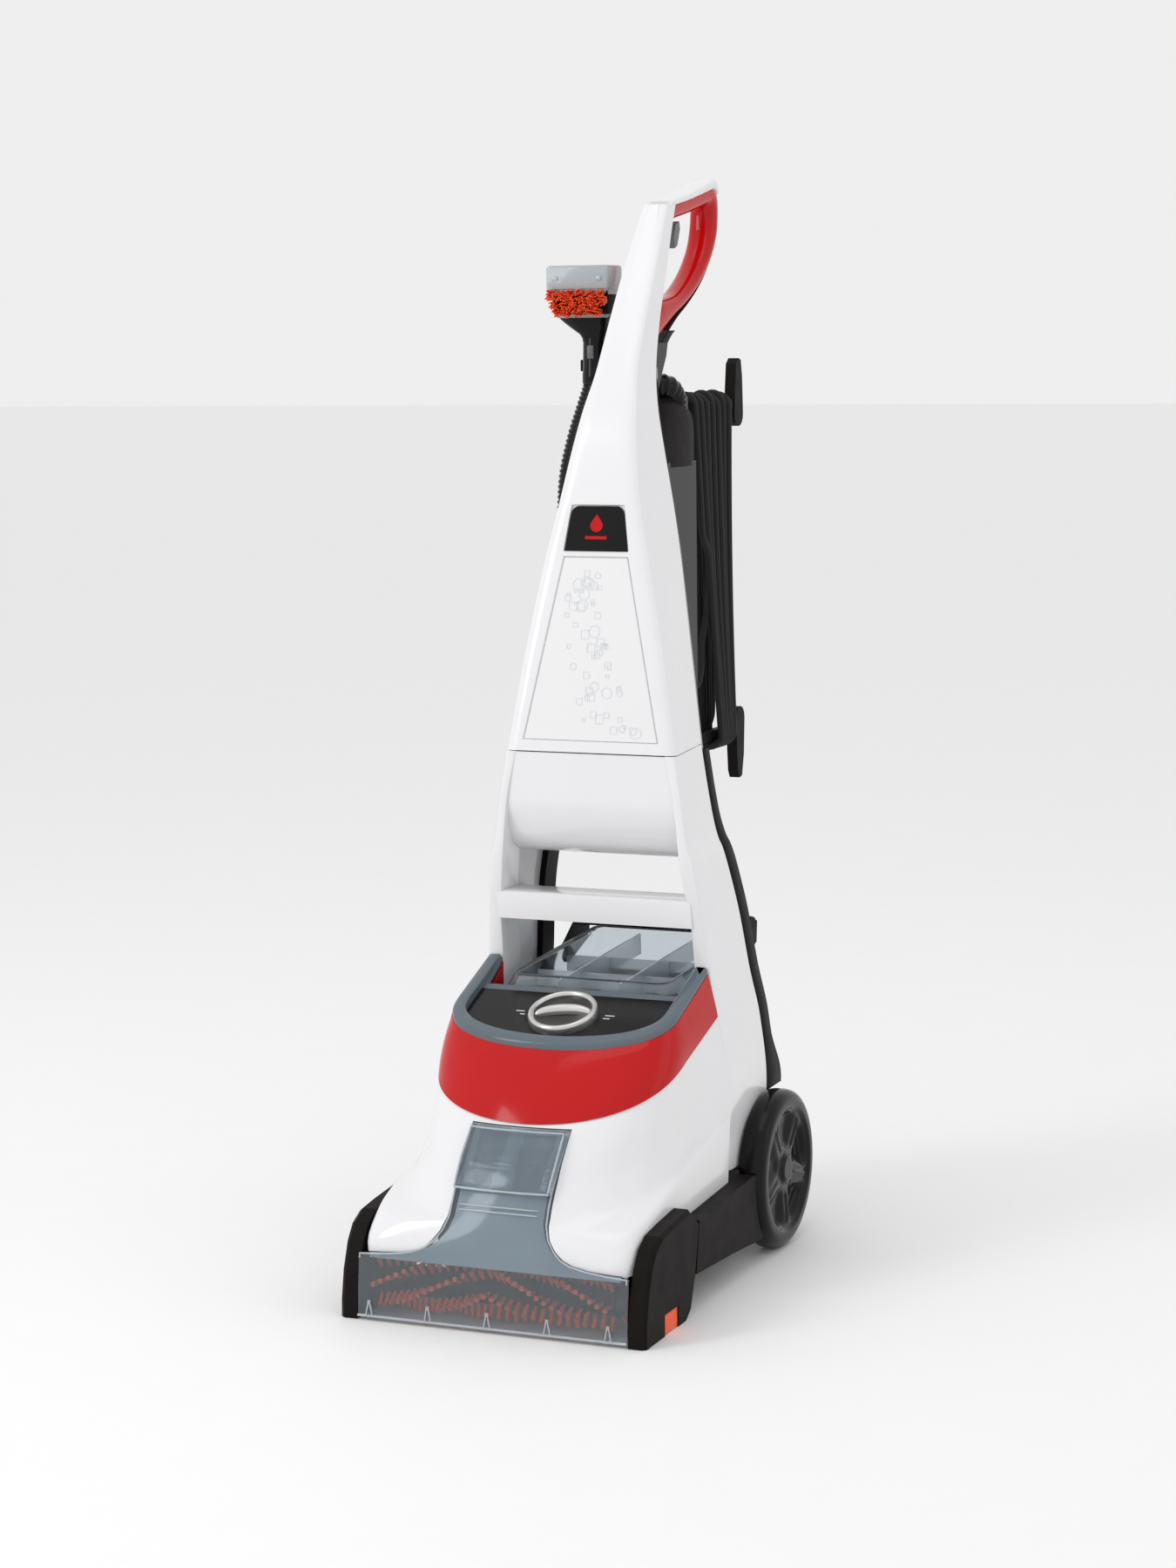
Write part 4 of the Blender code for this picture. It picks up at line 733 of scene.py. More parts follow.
def foot_ring(station, inset=0.0, lift=0.0):
    """Ring round the foot: arched front, sides that flare to the rear, notch for the tank."""
    front, half, height, slope, flare, square = station
    half -= inset
    points = [(half + flare, WING_BACK), (half + flare * 0.5, mix(WING_BACK, HOOD_MID, 0.5))]
    for i in range(ARCH_STEPS + 1):
        angle = math.pi * i / ARCH_STEPS
        cosine, sine = math.cos(angle), math.sin(angle)
        x = half * math.copysign(abs(cosine) ** (2 / square), cosine) if abs(cosine) > 1e-6 else 0.0
        bulge = sine ** (1.6 / square) if 0 < i < ARCH_STEPS else 0.0
        points.append((x, HOOD_MID - (HOOD_MID - front - inset) * bulge))
    points += [(-half - flare * 0.5, mix(WING_BACK, HOOD_MID, 0.5)), (-half - flare, WING_BACK)]
    notch = NOTCH_HALF + inset
    points += [
        (-notch, WING_BACK - inset), (-notch, NOTCH_BACK - inset), (notch, NOTCH_BACK - inset),
        (notch, WING_BACK - inset)
    ]
    return [(x, y, height + slope * (y - front) + lift) for x, y in points]


HOOD = [  # front y, half width, height at the front, slope, flare at the rear, squareness of the plan
    (-0.3375, 0.1400, 0.0640, 0.00, 0.0000, 16.0), (-0.3380, 0.1402, 0.0720, 0.00, 0.0000, 16.0),
    (-0.3372, 0.1402, 0.0790, 0.06, 0.0000, 14.0), (-0.3357, 0.1402, 0.0850, 0.15, 0.0010, 11.0),
    (-0.3335, 0.1401, 0.0905, 0.22, 0.0020, 8.5), (-0.3312, 0.1398, 0.0950, 0.245, 0.0030, 7.0),
    (-0.3296, 0.1388, 0.0980, 0.252, 0.0045, 5.8), (-0.3286, 0.1367, 0.0998, 0.255, 0.0070, 4.8),
    (-0.3278, 0.1335, 0.1012, 0.257, 0.0105, 4.0), (-0.3268, 0.1308, 0.1034, 0.256, 0.0140, 3.3),
    (-0.3250, 0.1290, 0.1085, 0.250, 0.0165, 2.8), (-0.3222, 0.1276, 0.1175, 0.242, 0.0184, 2.4),
    (-0.3180, 0.1268, 0.1280, 0.240, 0.0190, 2.15), (-0.3130, 0.1262, 0.1370, 0.245, 0.0178, 2.0),
    (-0.3020, 0.1256, 0.1520, 0.268, 0.0145, 2.0), (-0.2860, 0.1252, 0.1690, 0.324, 0.0090, 2.0),
    (-0.2680, 0.1250, 0.1860, SLOPE, 0.0040, 2.0),
]
BAND = [
    (-0.2693, 0.1262, 0.1864, SLOPE, 0.0040, 2.0), (-0.2630, 0.1264, 0.1955, SLOPE, 0.0026, 2.0),
    (-0.2550, 0.1260, 0.2060, SLOPE, 0.0012, 2.0), (-0.2460, 0.1250, 0.2170, SLOPE, 0.0004, 2.0),
    (-0.2360, 0.1232, 0.2290, SLOPE, 0.0, 2.0), (-0.2265, 0.1213, 0.2395, SLOPE, 0.0, 2.0),
    (-0.2180, 0.1200, 0.2484, SLOPE, 0.0, 2.0),
]


def cut_with(piece, cutter):
    """Takes a helper solid out of a piece, and the helper out of the scene."""
    mod = piece.modifiers.new("cut", "BOOLEAN")
    mod.operation = "DIFFERENCE"
    mod.solver = "EXACT"
    mod.object = cutter
    bpy.context.view_layer.update()
    graph = bpy.context.evaluated_depsgraph_get()
    mesh = bpy.data.meshes.new_from_object(piece.evaluated_get(graph))
    piece.modifiers.clear()
    old = piece.data
    piece.data = mesh
    mesh.name = old.name
    bpy.data.objects.remove(cutter)
    return piece


def hood_shell():
    outer = [foot_ring(station) for station in HOOD]
    inner = [foot_ring(station, inset=0.0028, lift=-0.0012) for station in reversed(HOOD)]
    shell = wrapped("hood_shell", outer + inner, capped=False, looped=True, sharp=38)
    edge = [(0.0500, 0.1300), (0.0652, 0.1300)] + WINDOW_EDGE[3:]
    edge[-1] = (0.1838, edge[-1][1])
    rings = []
    for z, half in edge:
        half += 0.0008
        rings.append([(-half, -0.40, z), (half, -0.40, z), (half, -0.235, z), (-half, -0.235, z)])
    cutter = wrapped("cutter", rings)
    cut_with(shell, cutter)
    shell.data.set_sharp_from_angle(angle=math.radians(38))
    fit(shell, white(), "base", "white_gloss", "foot_hood")


def deck_ring(inset, lift):
    ring = foot_ring(BAND[-1], inset=inset, lift=lift)
    for i in (-2, -3):
        x, y, z = ring[i]
        ring[i] = (x, y, z - REAR_DROP)
    return ring


def coloured_band():
    outer = [foot_ring(station) for station in BAND[:-1]] + [deck_ring(0.0, 0.0)]
    inner = [deck_ring(0.0030, 0.0)] + [foot_ring(station, inset=0.0030) for station in reversed(BAND[:-1])]
    band = wrapped("coloured_band", outer + inner, capped=False, looped=True, sharp=38)
    fit(band, red(), "base", "red_gloss", "red_band")


def control_deck():
    rim = [
        deck_ring(0.0034, -0.0300), deck_ring(0.0006, 0.0006), deck_ring(0.0008, 0.0042),
        deck_ring(0.0018, 0.0060)
    ]
    rim += [
        deck_ring(0.0036, 0.0068), deck_ring(0.0125, 0.0070), deck_ring(0.0138, 0.0062),
        deck_ring(0.0144, 0.0010)
    ]
    piece = wrapped("deck_rim", rim + [deck_ring(0.0146, -0.0300)], capped=False, looped=True, sharp=35)
    fit(piece, dark_smoke(), "base", "smoke_clear", "control_deck")
    bm = bmesh.new()
    plan = [p for p in foot_ring(BAND[-1], inset=0.0138, lift=-0.0006) if p[1] < -0.1190]
    bmesh.ops.contextual_create(bm, geom=[bm.verts.new(p) for p in plan])
    bmesh.ops.solidify(bm, geom=bm.faces[:], thickness=0.0025)
    fit(mesh_object("deck_floor", bm), gloss_black(), "base", "smoke_clear")


def deck_place(x, y, lift):
    """Matrix of a flat thing laid on the sloping deck."""
    front, _, height, slope, _, _ = BAND[-1]
    tilt = math.atan(slope)
    surface = height + slope * (y - front) - 0.0022
    spot = (x, y - lift * math.sin(tilt), surface + lift * math.cos(tilt))
    return Matrix.Translation(spot) @ Matrix.Rotation(tilt, 4, "X")


def dial_rings(profile):
    around = [2 * math.pi * k / 72 for k in range(72)]
    return [
        [(radius * math.cos(a), radius * math.sin(a), height) for a in around] for radius,
        height in profile
    ]


def selector():
    """Silver dial: a bright rolled rim, a dished face in dark grey that is painted shade, and a raised finger ridge.
    """
    rim = [
        (0.0300, 0.0010), (0.0345, 0.0), (0.0352, 0.0030), (0.0350, 0.0085), (0.0342, 0.0105),
        (0.0326, 0.0115)
    ]
    rim += [(0.0308, 0.0112), (0.0294, 0.0098), (0.0288, 0.0070)]
    bezel = wrapped("selector_bezel", dial_rings(rim), capped=False, looped=True, sharp=50)
    dish = [
        (0.0292, 0.0086), (0.0280, 0.0066), (0.0230, 0.0046), (0.0120, 0.0036), (0.0030, 0.0034),
        (0.0, 0.0034)
    ]
    face = wrapped(
        "selector_face", dial_rings([(0.0, 0.0010), (0.0292, 0.0010), *dish]), capped=False, sharp=50
    )
    ridge = []
    for k in range(25):
        s = mix(-1.0, 1.0, k / 24)
        half = 0.0058 * (1 - 0.35 * s * s)
        high = 0.0060 + 0.0060 * (1 - abs(s) ** 3.0) ** 0.6
        shift = 0.0065 * (1 - s * s)
        span = []
        for m in range(13):
            angle = math.pi * m / 12
            rise = math.sin(angle) ** 0.75
            span.append((0.0300 * s, shift + half * math.cos(angle), 0.0040 + (high - 0.0040) * rise))
        ridge.append(span)
    grip = wrapped("selector_ridge", ridge, sharp=60)
    place = deck_place(0.0, -0.1600, -0.0005) @ Matrix.Rotation(math.radians(10), 4, "Z")
    # The dished face takes the dark grey painted shade; rim and ridge are silver.
    for piece, mat in ((bezel, silver()), (face, dial_painted_shade()), (grip, silver())):
        piece.data.transform(place)
        fit(piece, mat, "knob", "silver_knob")
    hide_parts("selector_knob")


def dial_painted_shade():
    # Dark grey of the dished face: painted shade for the shadowed crescent under the finger ridge.
    return moulding("dial_face_painted_shade", (0.045, 0.044, 0.043), 0.30, 0.04, 0.1, 1800.0, metal=0.5)


def deck_marks():
    """Plain ticks and short bars beside the dial."""
    bm = bmesh.new()
    for x, y, wide in (
        (-0.0480, -0.1560, 0.0090), (-0.0440, -0.1610, 0.0050), (0.0470, -0.1540, 0.0100),
        (0.0450, -0.1590, 0.0070)
    ):
        matrix = deck_place(x, y, 0.0018) @ Matrix.Diagonal((wide, 0.0012, 0.0003, 1.0))
        bmesh.ops.create_cube(bm, size=1.0, matrix=matrix)
    fit(mesh_object("deck_marks", bm), panel_white(), "base", "white_gloss")


# ---- nozzle window ------------------------------------------------------
WINDOW_LINE = smooth_rows([
    (0.0030, -0.3465), (0.0200, -0.3462), (0.0450, -0.3440), (0.0700, -0.3410), (0.0950, -0.3355),
    (0.1200, -0.3240), (0.1450, -0.3080), (0.1650, -0.2915), (0.1825, -0.2745),
], 60)
WINDOW_EDGE = [
    (0.0030, 0.1394), (0.0640, 0.1398), (0.0655, 0.1180), (0.0680, 0.0960), (0.0712, 0.0814), (
        0.0760, 0.0710
    ),
    (0.0825, 0.0635), (0.0920, 0.0562), (0.1040, 0.0520), (0.1200, 0.0512), (0.1825, 0.0512),
]


def soft_step(value, low, high):
    t = min(1.0, max(0.0, (value - low) / (high - low)))
    return t * t * (3 - 2 * t)


def window_bow(z):
    """How strongly the window curves back towards its sides at this height."""
    return 2.6 * soft_step(z, 0.070, 0.110) + 1.8 * soft_step(z, 0.115, 0.180)


def window_levels():
    low = [0.0030, 0.0036, 0.0050, 0.0150, 0.0300, 0.0450, 0.0600, 0.0640]
    fillet = [
        0.0646, 0.0655, 0.0667, 0.0680, 0.0696, 0.0712, 0.0735, 0.0760, 0.0790, 0.0825, 0.0870, 0.0920,
        0.0980, 0.1040
    ]
    return low + fillet + [0.1040 + 0.0785 * k / 14 for k in range(1, 15)]


def window_shell():
    sections = []
    for z in window_levels():
        half = row_at(WINDOW_EDGE, z)[1]
        front = row_at(WINDOW_LINE, z)[1]
        bow = window_bow(z)
        span = [half * math.sin(math.pi / 2 * (k / 12 - 1)) for k in range(25)]
        rim = [0.0012 * (abs(x) / half) ** 24 for x in span]
        face = [(x, front + bow * x * x + r, z) for x, r in zip(span, rim)]
        back = [(x, front + bow * x * x + 0.0026, z) for x in reversed(span)]
        sections.append(face + back)
    fit(wrapped("window_shell", sections, sharp=34), smoke(), "base", "smoke_clear", "nozzle_window")


def window_trim():
    """Bright lip along the foot of the window, a lighter line along its side edges that is a painted highlight, and
    the small ribs on it.
    """
    lip = [[(x, y, z) for y, z in ((-0.3474, 0.0032), (-0.3478, 0.0042), (-0.3474, 0.0056), (-0.3462, 0.0056), (-0.3462, 0.0032))] for x in (-0.1394, 0.0, 0.1394)]
    fit(wrapped("window_lip", lip, sharp=30), edge_clear(), "base", "smoke_clear")
    # The lighter clear lines along the window's side edges are painted highlights.
    for side, name in ((-1, "window_edge_highlight_right"), (1, "window_edge_highlight_left")):
        path = []
        for z in window_levels()[6:]:
            half = row_at(WINDOW_EDGE, z)[1] - 0.0014
            path.append(Vector((side * half, row_at(WINDOW_LINE, z)[1] + window_bow(z) * half * half - 0.0001, z)))
        fit(swept(name, path, lambda i: 0.0009, 8), edge_clear(), "base", "smoke_clear")
    bm = bmesh.new()
    for k in range(5):
        x = -0.1270 + 0.0620 * k
        for lean in (-1, 1):
            matrix = Matrix.Translation((x + lean * 0.0018, -0.3470, 0.0125)) @ Matrix.Rotation(
                -lean * 0.20, 4, "Y"
            )
            matrix = matrix @ Matrix.Diagonal((0.0011, 0.0022, 0.0150, 1.0))
            bmesh.ops.create_cube(bm, size=1.0, matrix=matrix)
        bmesh.ops.create_cube(
            bm, size=1.0,
            matrix=Matrix.Translation((x, -0.3468, 0.0185)) @ Matrix.Diagonal((0.0030, 0.0018, 0.0030, 1.0))
        )
    ribs = mesh_object("window_ribs", bm)
    fit(ribs, edge_clear(), "base", "smoke_clear")
    for number, z in enumerate((0.1130, 0.1175)):
        front = row_at(WINDOW_LINE, z)[1]
        path = []
        for k in range(13):
            x = 0.0400 * (k / 6 - 1)
            path.append(Vector((x, front + window_bow(z) * x * x - 0.0004, z - 2.0 * x * x * 0.35)))
        fit(swept("neck_rib_%d" % number, path, lambda i: 0.0008, 8), edge_clear(), "base", "smoke_clear")


def edge_clear():
    # Milky clear plastic; its thin lines along the window's side edges and round the clip block are painted
    # highlights.
    return moulding("edge_plastic", (0.80, 0.86, 0.90), 0.08, 0.02, 0.02, 200.0, clear=0.55, ior=1.36)


CLIP_BOW = 1.5


def latch_profile(z):
    """How far the clip block stands proud of the window at this height."""
    proud = 0.0034 * soft_step(z, 0.1296, 0.1320) * (1 - soft_step(z, 0.1812, 0.1832))
    ridge = 0.0016 * max(0.0, 1 - abs(z - 0.1585) / 0.0022) + 0.0012 * max(
        0.0, 1 - abs(z - 0.1535) / 0.0018
    )
    return proud, ridge


def clip_block():
    sections = []
    heights = [0.1298, 0.1306, 0.1316, 0.1328] + [
        0.1340 + 0.0014 * k for k in range(34)
    ] + [0.1818, 0.1826, 0.1831]
    for z in heights:
        front = row_at(WINDOW_LINE, z)[1]
        proud, ridge = latch_profile(z)
        inside = 0.0016 * soft_step(z, 0.1330, 0.1345) * (1 - soft_step(z, 0.1785, 0.1800)) - ridge
        row = []
        for k in range(33):
            t = k / 16 - 1
            x = 0.0500 * math.copysign(abs(t) ** 0.9, t)
            edge = 0.0016 * soft_step(abs(x), 0.0482, 0.0500)
            dip = inside * (1 - soft_step(abs(x), 0.0415, 0.0428))
            row.append((x, front + CLIP_BOW * x * x - proud + edge + dip - 0.0008, z))
        back = [
            (x, front + window_bow(z) * x * x * 0.96 - 0.0003, z)
            for x in (0.0500, 0.025, 0.0, -0.025, -0.0500)
        ]
        sections.append(row + back)
    fit(wrapped("clip_block", sections, sharp=30), smoke(), "base", "smoke_clear", "window_latch")
    lining = []
    for z in (0.1310, 0.1440, 0.1560, 0.1700, 0.1815):
        front = row_at(WINDOW_LINE, z)[1] + 0.0032
        lining.append([(x, front + window_bow(z) * x * x + dy, z) for x, dy in ((-0.047, 0), (0, 0), (0.047, 0), (0.047, 0.001), (-0.047, 0.001))])
    fit(wrapped("clip_lining", lining, sharp=30), clip_grey(), "base", "smoke_clear")


def clip_grey():
    return moulding("clip_lining_moulding", (0.66, 0.72, 0.76), 0.25, 0.16, 0.05, 40.0)


def tool_grey():
    return moulding("tool_core_moulding", (0.11, 0.12, 0.13), 0.30, 0.10, 0.05, 80.0)


def lining_grey():
    return moulding("lining_moulding", (0.43, 0.49, 0.535), 0.30, 0.10, 0.05, 80.0)


def neck_duct():
    """Grey suction channel that fills the window's neck and fans out over the brush."""
    sections = []
    for z in [z for z in window_levels() if z >= 0.0600]:
        half = min(row_at(WINDOW_EDGE, z)[1], 0.1360) - 0.0062
        front = row_at(WINDOW_LINE, z)[1] + 0.0045
        bow = window_bow(z)
        span = [half * (k / 8 - 1) for k in range(17)]
        deep = 0.016 * soft_step(z, 0.0560, 0.0800) + 0.002
        sections.append([(x, front + bow * x * x, z) for x in span])
        sections[-1] += [(x, front + deep + bow * x * x, z) for x in reversed(span)]
    fit(wrapped("neck_duct", sections, sharp=30), lining_grey(), "base", "duct_grey", "suction_duct")


def brush_tufts():
    """Bristle tufts set in crossed spiral rows round the brush core."""
    bm = bmesh.new()
    axis_y, axis_z = -0.3060, 0.0320
    for row in range(6):
        for k in range(34):
            x = mix(-0.1285, 0.1285, k / 33)
            if 0.1130 < x:
                continue
            angle = math.radians(60 * row) + 2.3 * abs(x + 0.01) / 0.13
            out = Vector((0.0, math.cos(angle), math.sin(angle)))
            matrix = Matrix.Translation((x, axis_y, axis_z)) @ out.to_track_quat(
                "Z", "X"
            ).to_matrix().to_4x4()
            matrix = matrix @ Matrix.Translation((0.0, 0.0, 0.0215))
            bmesh.ops.create_cone(
                bm, cap_ends=True, segments=8, radius1=0.0018, radius2=0.0026, depth=0.0140,
                matrix=matrix
            )
    fit(mesh_object("brush_tufts", bm), bristle(), "brush", "bristle", "brush_bristles")


# ---- wheels -------------------------------------------------------------
WHEEL_Y, WHEEL_Z = 0.0460, 0.0820


def wheel_depth(radius, angle):
    """Depth of the wheel's outer face: a rolled rim, five dished petals and a raised hub."""
    petal = (angle / (2 * math.pi) * 5 + 0.5) % 1.0 - 0.5
    rim = soft_step(radius, 0.0610, 0.0655)
    hub = 1 - soft_step(radius, 0.0120, 0.0175)
    dish = 0.0035 + 0.0015 * (1 - soft_step(radius, 0.018, 0.060))
    width = mix(0.22, 0.36, soft_step(radius, 0.018, 0.058))
    inside = 1 - soft_step(abs(petal), width - 0.20, width + 0.09)
    reach = soft_step(radius, 0.0200, 0.0300) * (1 - soft_step(radius, 0.0550, 0.0605))
    scoop = 0.0062 * inside * reach * mix(0.45, 1.0, soft_step(radius, 0.02, 0.045))
    crest = 0.0018 * (1 - soft_step(abs(abs(petal) - 0.5), 0.0, 0.06)) * reach
    return (dish + scoop - crest) * (1 - rim) * (1 - hub) + 0.0012 * hub


def wheel_shell(name, side, body):
    outer = 0.1630
    radii = [0.0, 0.0030] + [0.0055 + 0.0015 * k for k in range(41)] + [0.0670, 0.0685, 0.0700, 0.0715]
    tread = [
        (0.0740, 0.0004), (0.0765, 0.0014), (0.0788, 0.0032), (0.0805, 0.0056), (0.0815, 0.0085),
        (0.0820, 0.0120), (0.0820, 0.0200), (0.0812, 0.0245), (0.0790, 0.0270)
    ]
    sections = []
    for radius in radii:
        ring = []
        for k in range(160):
            angle = 2 * math.pi * k / 160
            x = outer - wheel_depth(radius, angle - math.radians(90))
            ring.append((side * x, WHEEL_Y + radius * math.cos(angle), WHEEL_Z + radius * math.sin(angle)))
        sections.append(ring)
    for radius, depth in tread + [(0.0700, 0.0270), (0.0200, 0.0270), (0.0072, 0.0270), (0.0, 0.0270)]:
        x = outer - depth
        circle = [2 * math.pi * k / 160 for k in range(160)]
        sections.append([(side * x, WHEEL_Y + radius * math.cos(a), WHEEL_Z + radius * math.sin(a)) for a in circle])
    shell = wrapped(name, sections, capped=False, sharp=42)
    fit(shell, gloss_black(), body, "black_plastic", "wheel_left" if side > 0 else "wheel_right")


# ---- hand tool and hose -------------------------------------------------
TOOL_X, TOOL_Y = -0.0850, 0.1180
TUBE_X = -0.0735


def hand_tool():
    head = []
    for half, front, back, z in (
        (0.0270, 0.1040, 0.1330, 0.9545), (0.0280, 0.1020, 0.1345, 0.9560), (
            0.0335, 0.0985, 0.1350, 0.9835
        ),
        (0.0348, 0.0950, 0.1350, 0.9842), (0.0352, 0.0945, 0.1350, 0.9860), (
            0.0352, 0.0955, 0.1345, 1.0060
        ),
        (0.0346, 0.0965, 0.1335, 1.0078), (0.0330, 0.0985, 0.1315, 1.0086),
    ):
        corner = 0.0030
        plan = []
        for cx, cy, start in ((half, front, -90), (half, back, 0), (-half, back, 90), (-half, front, 180)):
            ox = cx - math.copysign(corner, cx)
            oy = cy + corner if cy == front else cy - corner
            for k in range(5):
                angle = math.radians(start + 22.5 * k)
                plan.append((TOOL_X + ox + corner * math.cos(angle), oy + corner * math.sin(angle), z))
        head.append(plan)
    fit(wrapped("tool_shell", head, sharp=35), edge_clear(), "handle", "smoke_clear", "tool_head")
    core = block(
        "tool_core", (TOOL_X - 0.0325, 0.1000, 0.9860), (TOOL_X + 0.0325, 0.1320, 1.0055), 0.002, 2
    )
    fit(core, tool_grey(), "handle", "smoke_clear")
    for side in (-1, 1):
        boss = block(
            "tool_boss", (TOOL_X + side * 0.0245 - 0.0030, 0.0935, 0.9930),
            (TOOL_X + side * 0.0245 + 0.0030, 0.0965, 0.9975), 0.0006, 2
        )
        boss.name = "tool_boss_right" if side < 0 else "tool_boss_left"
        fit(boss, lining_grey(), "handle", "smoke_clear")
    plate = block(
        "bristle_plate", (TOOL_X - 0.0285, 0.0990, 0.9580), (TOOL_X + 0.0325, 0.1340, 0.9832), 0.0008, 2
    )
    fit(plate, black(), "handle", "black_plastic")
    neck = []
    for wide, deep, z in (
        (0.0130, 0.0130, 0.9300), (0.0132, 0.0132, 0.9330), (0.0150, 0.0134, 0.9375), (
            0.0205, 0.0136, 0.9440
        ),
        (0.0245, 0.0138, 0.9500), (0.0275, 0.0140, 0.9535), (0.0282, 0.0142, 0.9550), (
            0.0282, 0.0142, 0.9580
        ),
    ):
        ring = []
        for k in range(32):
            angle = 2 * math.pi * k / 32
            c, s = math.cos(angle), math.sin(angle)
            centre = mix(TUBE_X, TOOL_X, soft_step(z, 0.9330, 0.9550))
            ring.append((centre + wide * math.copysign(abs(c) ** 0.7, c), TOOL_Y + deep * math.copysign(abs(s) ** 0.7, s), z))
        neck.append(ring)
    fit(wrapped("tool_neck", neck, sharp=40), gloss_black(), "handle", "black_plastic", "tool_body")
    tube = [
        (0.0128, 0.9340), (0.0132, 0.9335), (0.0135, 0.9320), (0.0140, 0.9040), (0.0143, 0.8980),
        (0.0146, 0.8965), (0.0146, 0.8880), (0.0142, 0.8868)
    ]
    rings = []
    for radius, z in tube:
        rings.append([(TUBE_X + radius * math.cos(2 * math.pi * k / 40), TOOL_Y + radius * math.sin(2 * math.pi * k / 40), z) for k in range(40)])
    fit(wrapped("tool_tube", rings, sharp=40), gloss_black(), "handle", "black_plastic")


def tool_tufts():
    """Four staggered rows of short bristle tufts under the clear head."""
    draw = random.Random(5)
    bm = bmesh.new()
    for row, count in enumerate((6, 6, 5, 5)):
        z = 0.9795 - 0.0062 * row
        for k in range(count):
            x = TOOL_X + (k - (count - 1) / 2) * 0.0112 + (0.0026 if row % 2 else -0.0012)
            for _ in range(22):
                angle, reach = draw.uniform(0, 6.28), 0.0026 * math.sqrt(draw.random())
                dx, dz = reach * math.cos(angle), reach * math.sin(angle)
                root = Vector((x + dx, 0.0990, z + dz))
                tip = Vector((x + dx * 2.2, 0.0865 + draw.uniform(0, 0.0016), z + dz * 2.2 - 0.0015))
                run = tip - root
                matrix = Matrix.Translation((root + tip) / 2) @ run.to_track_quat(
                    "Z", "X"
                ).to_matrix().to_4x4()
                bmesh.ops.create_cone(
                    bm, cap_ends=True, segments=5, radius1=0.0008, radius2=0.00055, depth=run.length,
                    matrix=matrix
                )
    fit(mesh_object("tool_tufts", bm), bristle(), "handle", "bristle", "tool_bristles")


HOSE_LINE = [
    (-0.0735, 0.1180, 0.8900), (-0.0745, 0.1185, 0.8800), (-0.0830, 0.1200, 0.8580), (
        -0.0940, 0.1200, 0.8260
    ),
    (-0.1025, 0.1180, 0.7850), (-0.1035, 0.1150, 0.7300), (-0.1020, 0.1120, 0.6600),
    (-0.0960, 0.1080, 0.5900), (-0.0760, 0.1060, 0.5480), (-0.0560, 0.1060, 0.5900), (
        -0.0520, 0.1100, 0.6600
    ),
    (-0.0520, 0.1150, 0.7600), (-0.0480, 0.1160, 0.8350), (-0.0300, 0.1120, 0.8640), (
        -0.0120, 0.1120, 0.8790
    ),
    (0.0020, 0.1220, 0.8810), (0.0050, 0.1360, 0.8690), (0.0050, 0.1400, 0.8500),
]
HOSE_RIBS = (0.0, 0.55, 1.0, 0.55)


def hose_skin():
    path = smooth_path(HOSE_LINE, 0.0013)
    skin = swept("hose_skin", path, lambda i: 0.0130 + 0.0017 * HOSE_RIBS[i % 4], 24, 80.0)
    fit(skin, gloss_black(), "handle", "hose_black", "hose")


# ---- tank lid -----------------------------------------------------------
def lid_top(y):
    return mix(0.2965, 0.3090, (y + 0.1050) / 0.2420)


def lid_plan(inset, lift=None, squeeze=1.0):
    half, front, back = 0.0955 - inset, -0.1040 + inset, 0.1360 - inset
    corner = 0.0120
    plan = []
    for cx, cy, start in ((half, front, -90), (half, back, 0), (-half, back, 90), (-half, front, 180)):
        ox = cx - math.copysign(corner, cx)
        oy = cy + corner if cy == front else cy - corner
        for k in range(7):
            angle = math.radians(start + 15 * k)
            x, y = (ox + corner * math.cos(angle)) * squeeze, oy + corner * math.sin(angle)
            plan.append((x, y, lift if lift else lid_top(y)))
    return plan


def lid_at(inset, drop, squeeze):
    return [(x, y, z - drop) for x, y, z in lid_plan(inset, squeeze=squeeze)]


def lid_shell():
    rings = [
        lid_plan(0.0, 0.2626), lid_plan(0.0, 0.2720), lid_at(0.0050, 0.0045, 0.955),
        lid_at(0.0055, 0.0020, 0.950)
    ]
    rings += [lid_at(0.0066, 0.0006, 0.948), lid_at(0.0082, 0.0, 0.945)]
    under = [
        lid_at(0.0095, 0.0022, 0.940), lid_at(0.0080, 0.0060, 0.945), lid_plan(0.0030, 0.2715),
        lid_plan(0.0030, 0.2626)
    ]
    lid = wrapped("lid_shell", rings + under, capped=False, looped=False, sharp=32)
    bm = bmesh.new()
    bm.from_mesh(lid.data)
    bmesh.ops.holes_fill(bm, edges=bm.edges, sides=0)
    bmesh.ops.recalc_face_normals(bm, faces=bm.faces)
    bm.to_mesh(lid.data)
    bm.free()
    fit(lid, smoke(), "tank", "smoke_clear", "tank_lid")


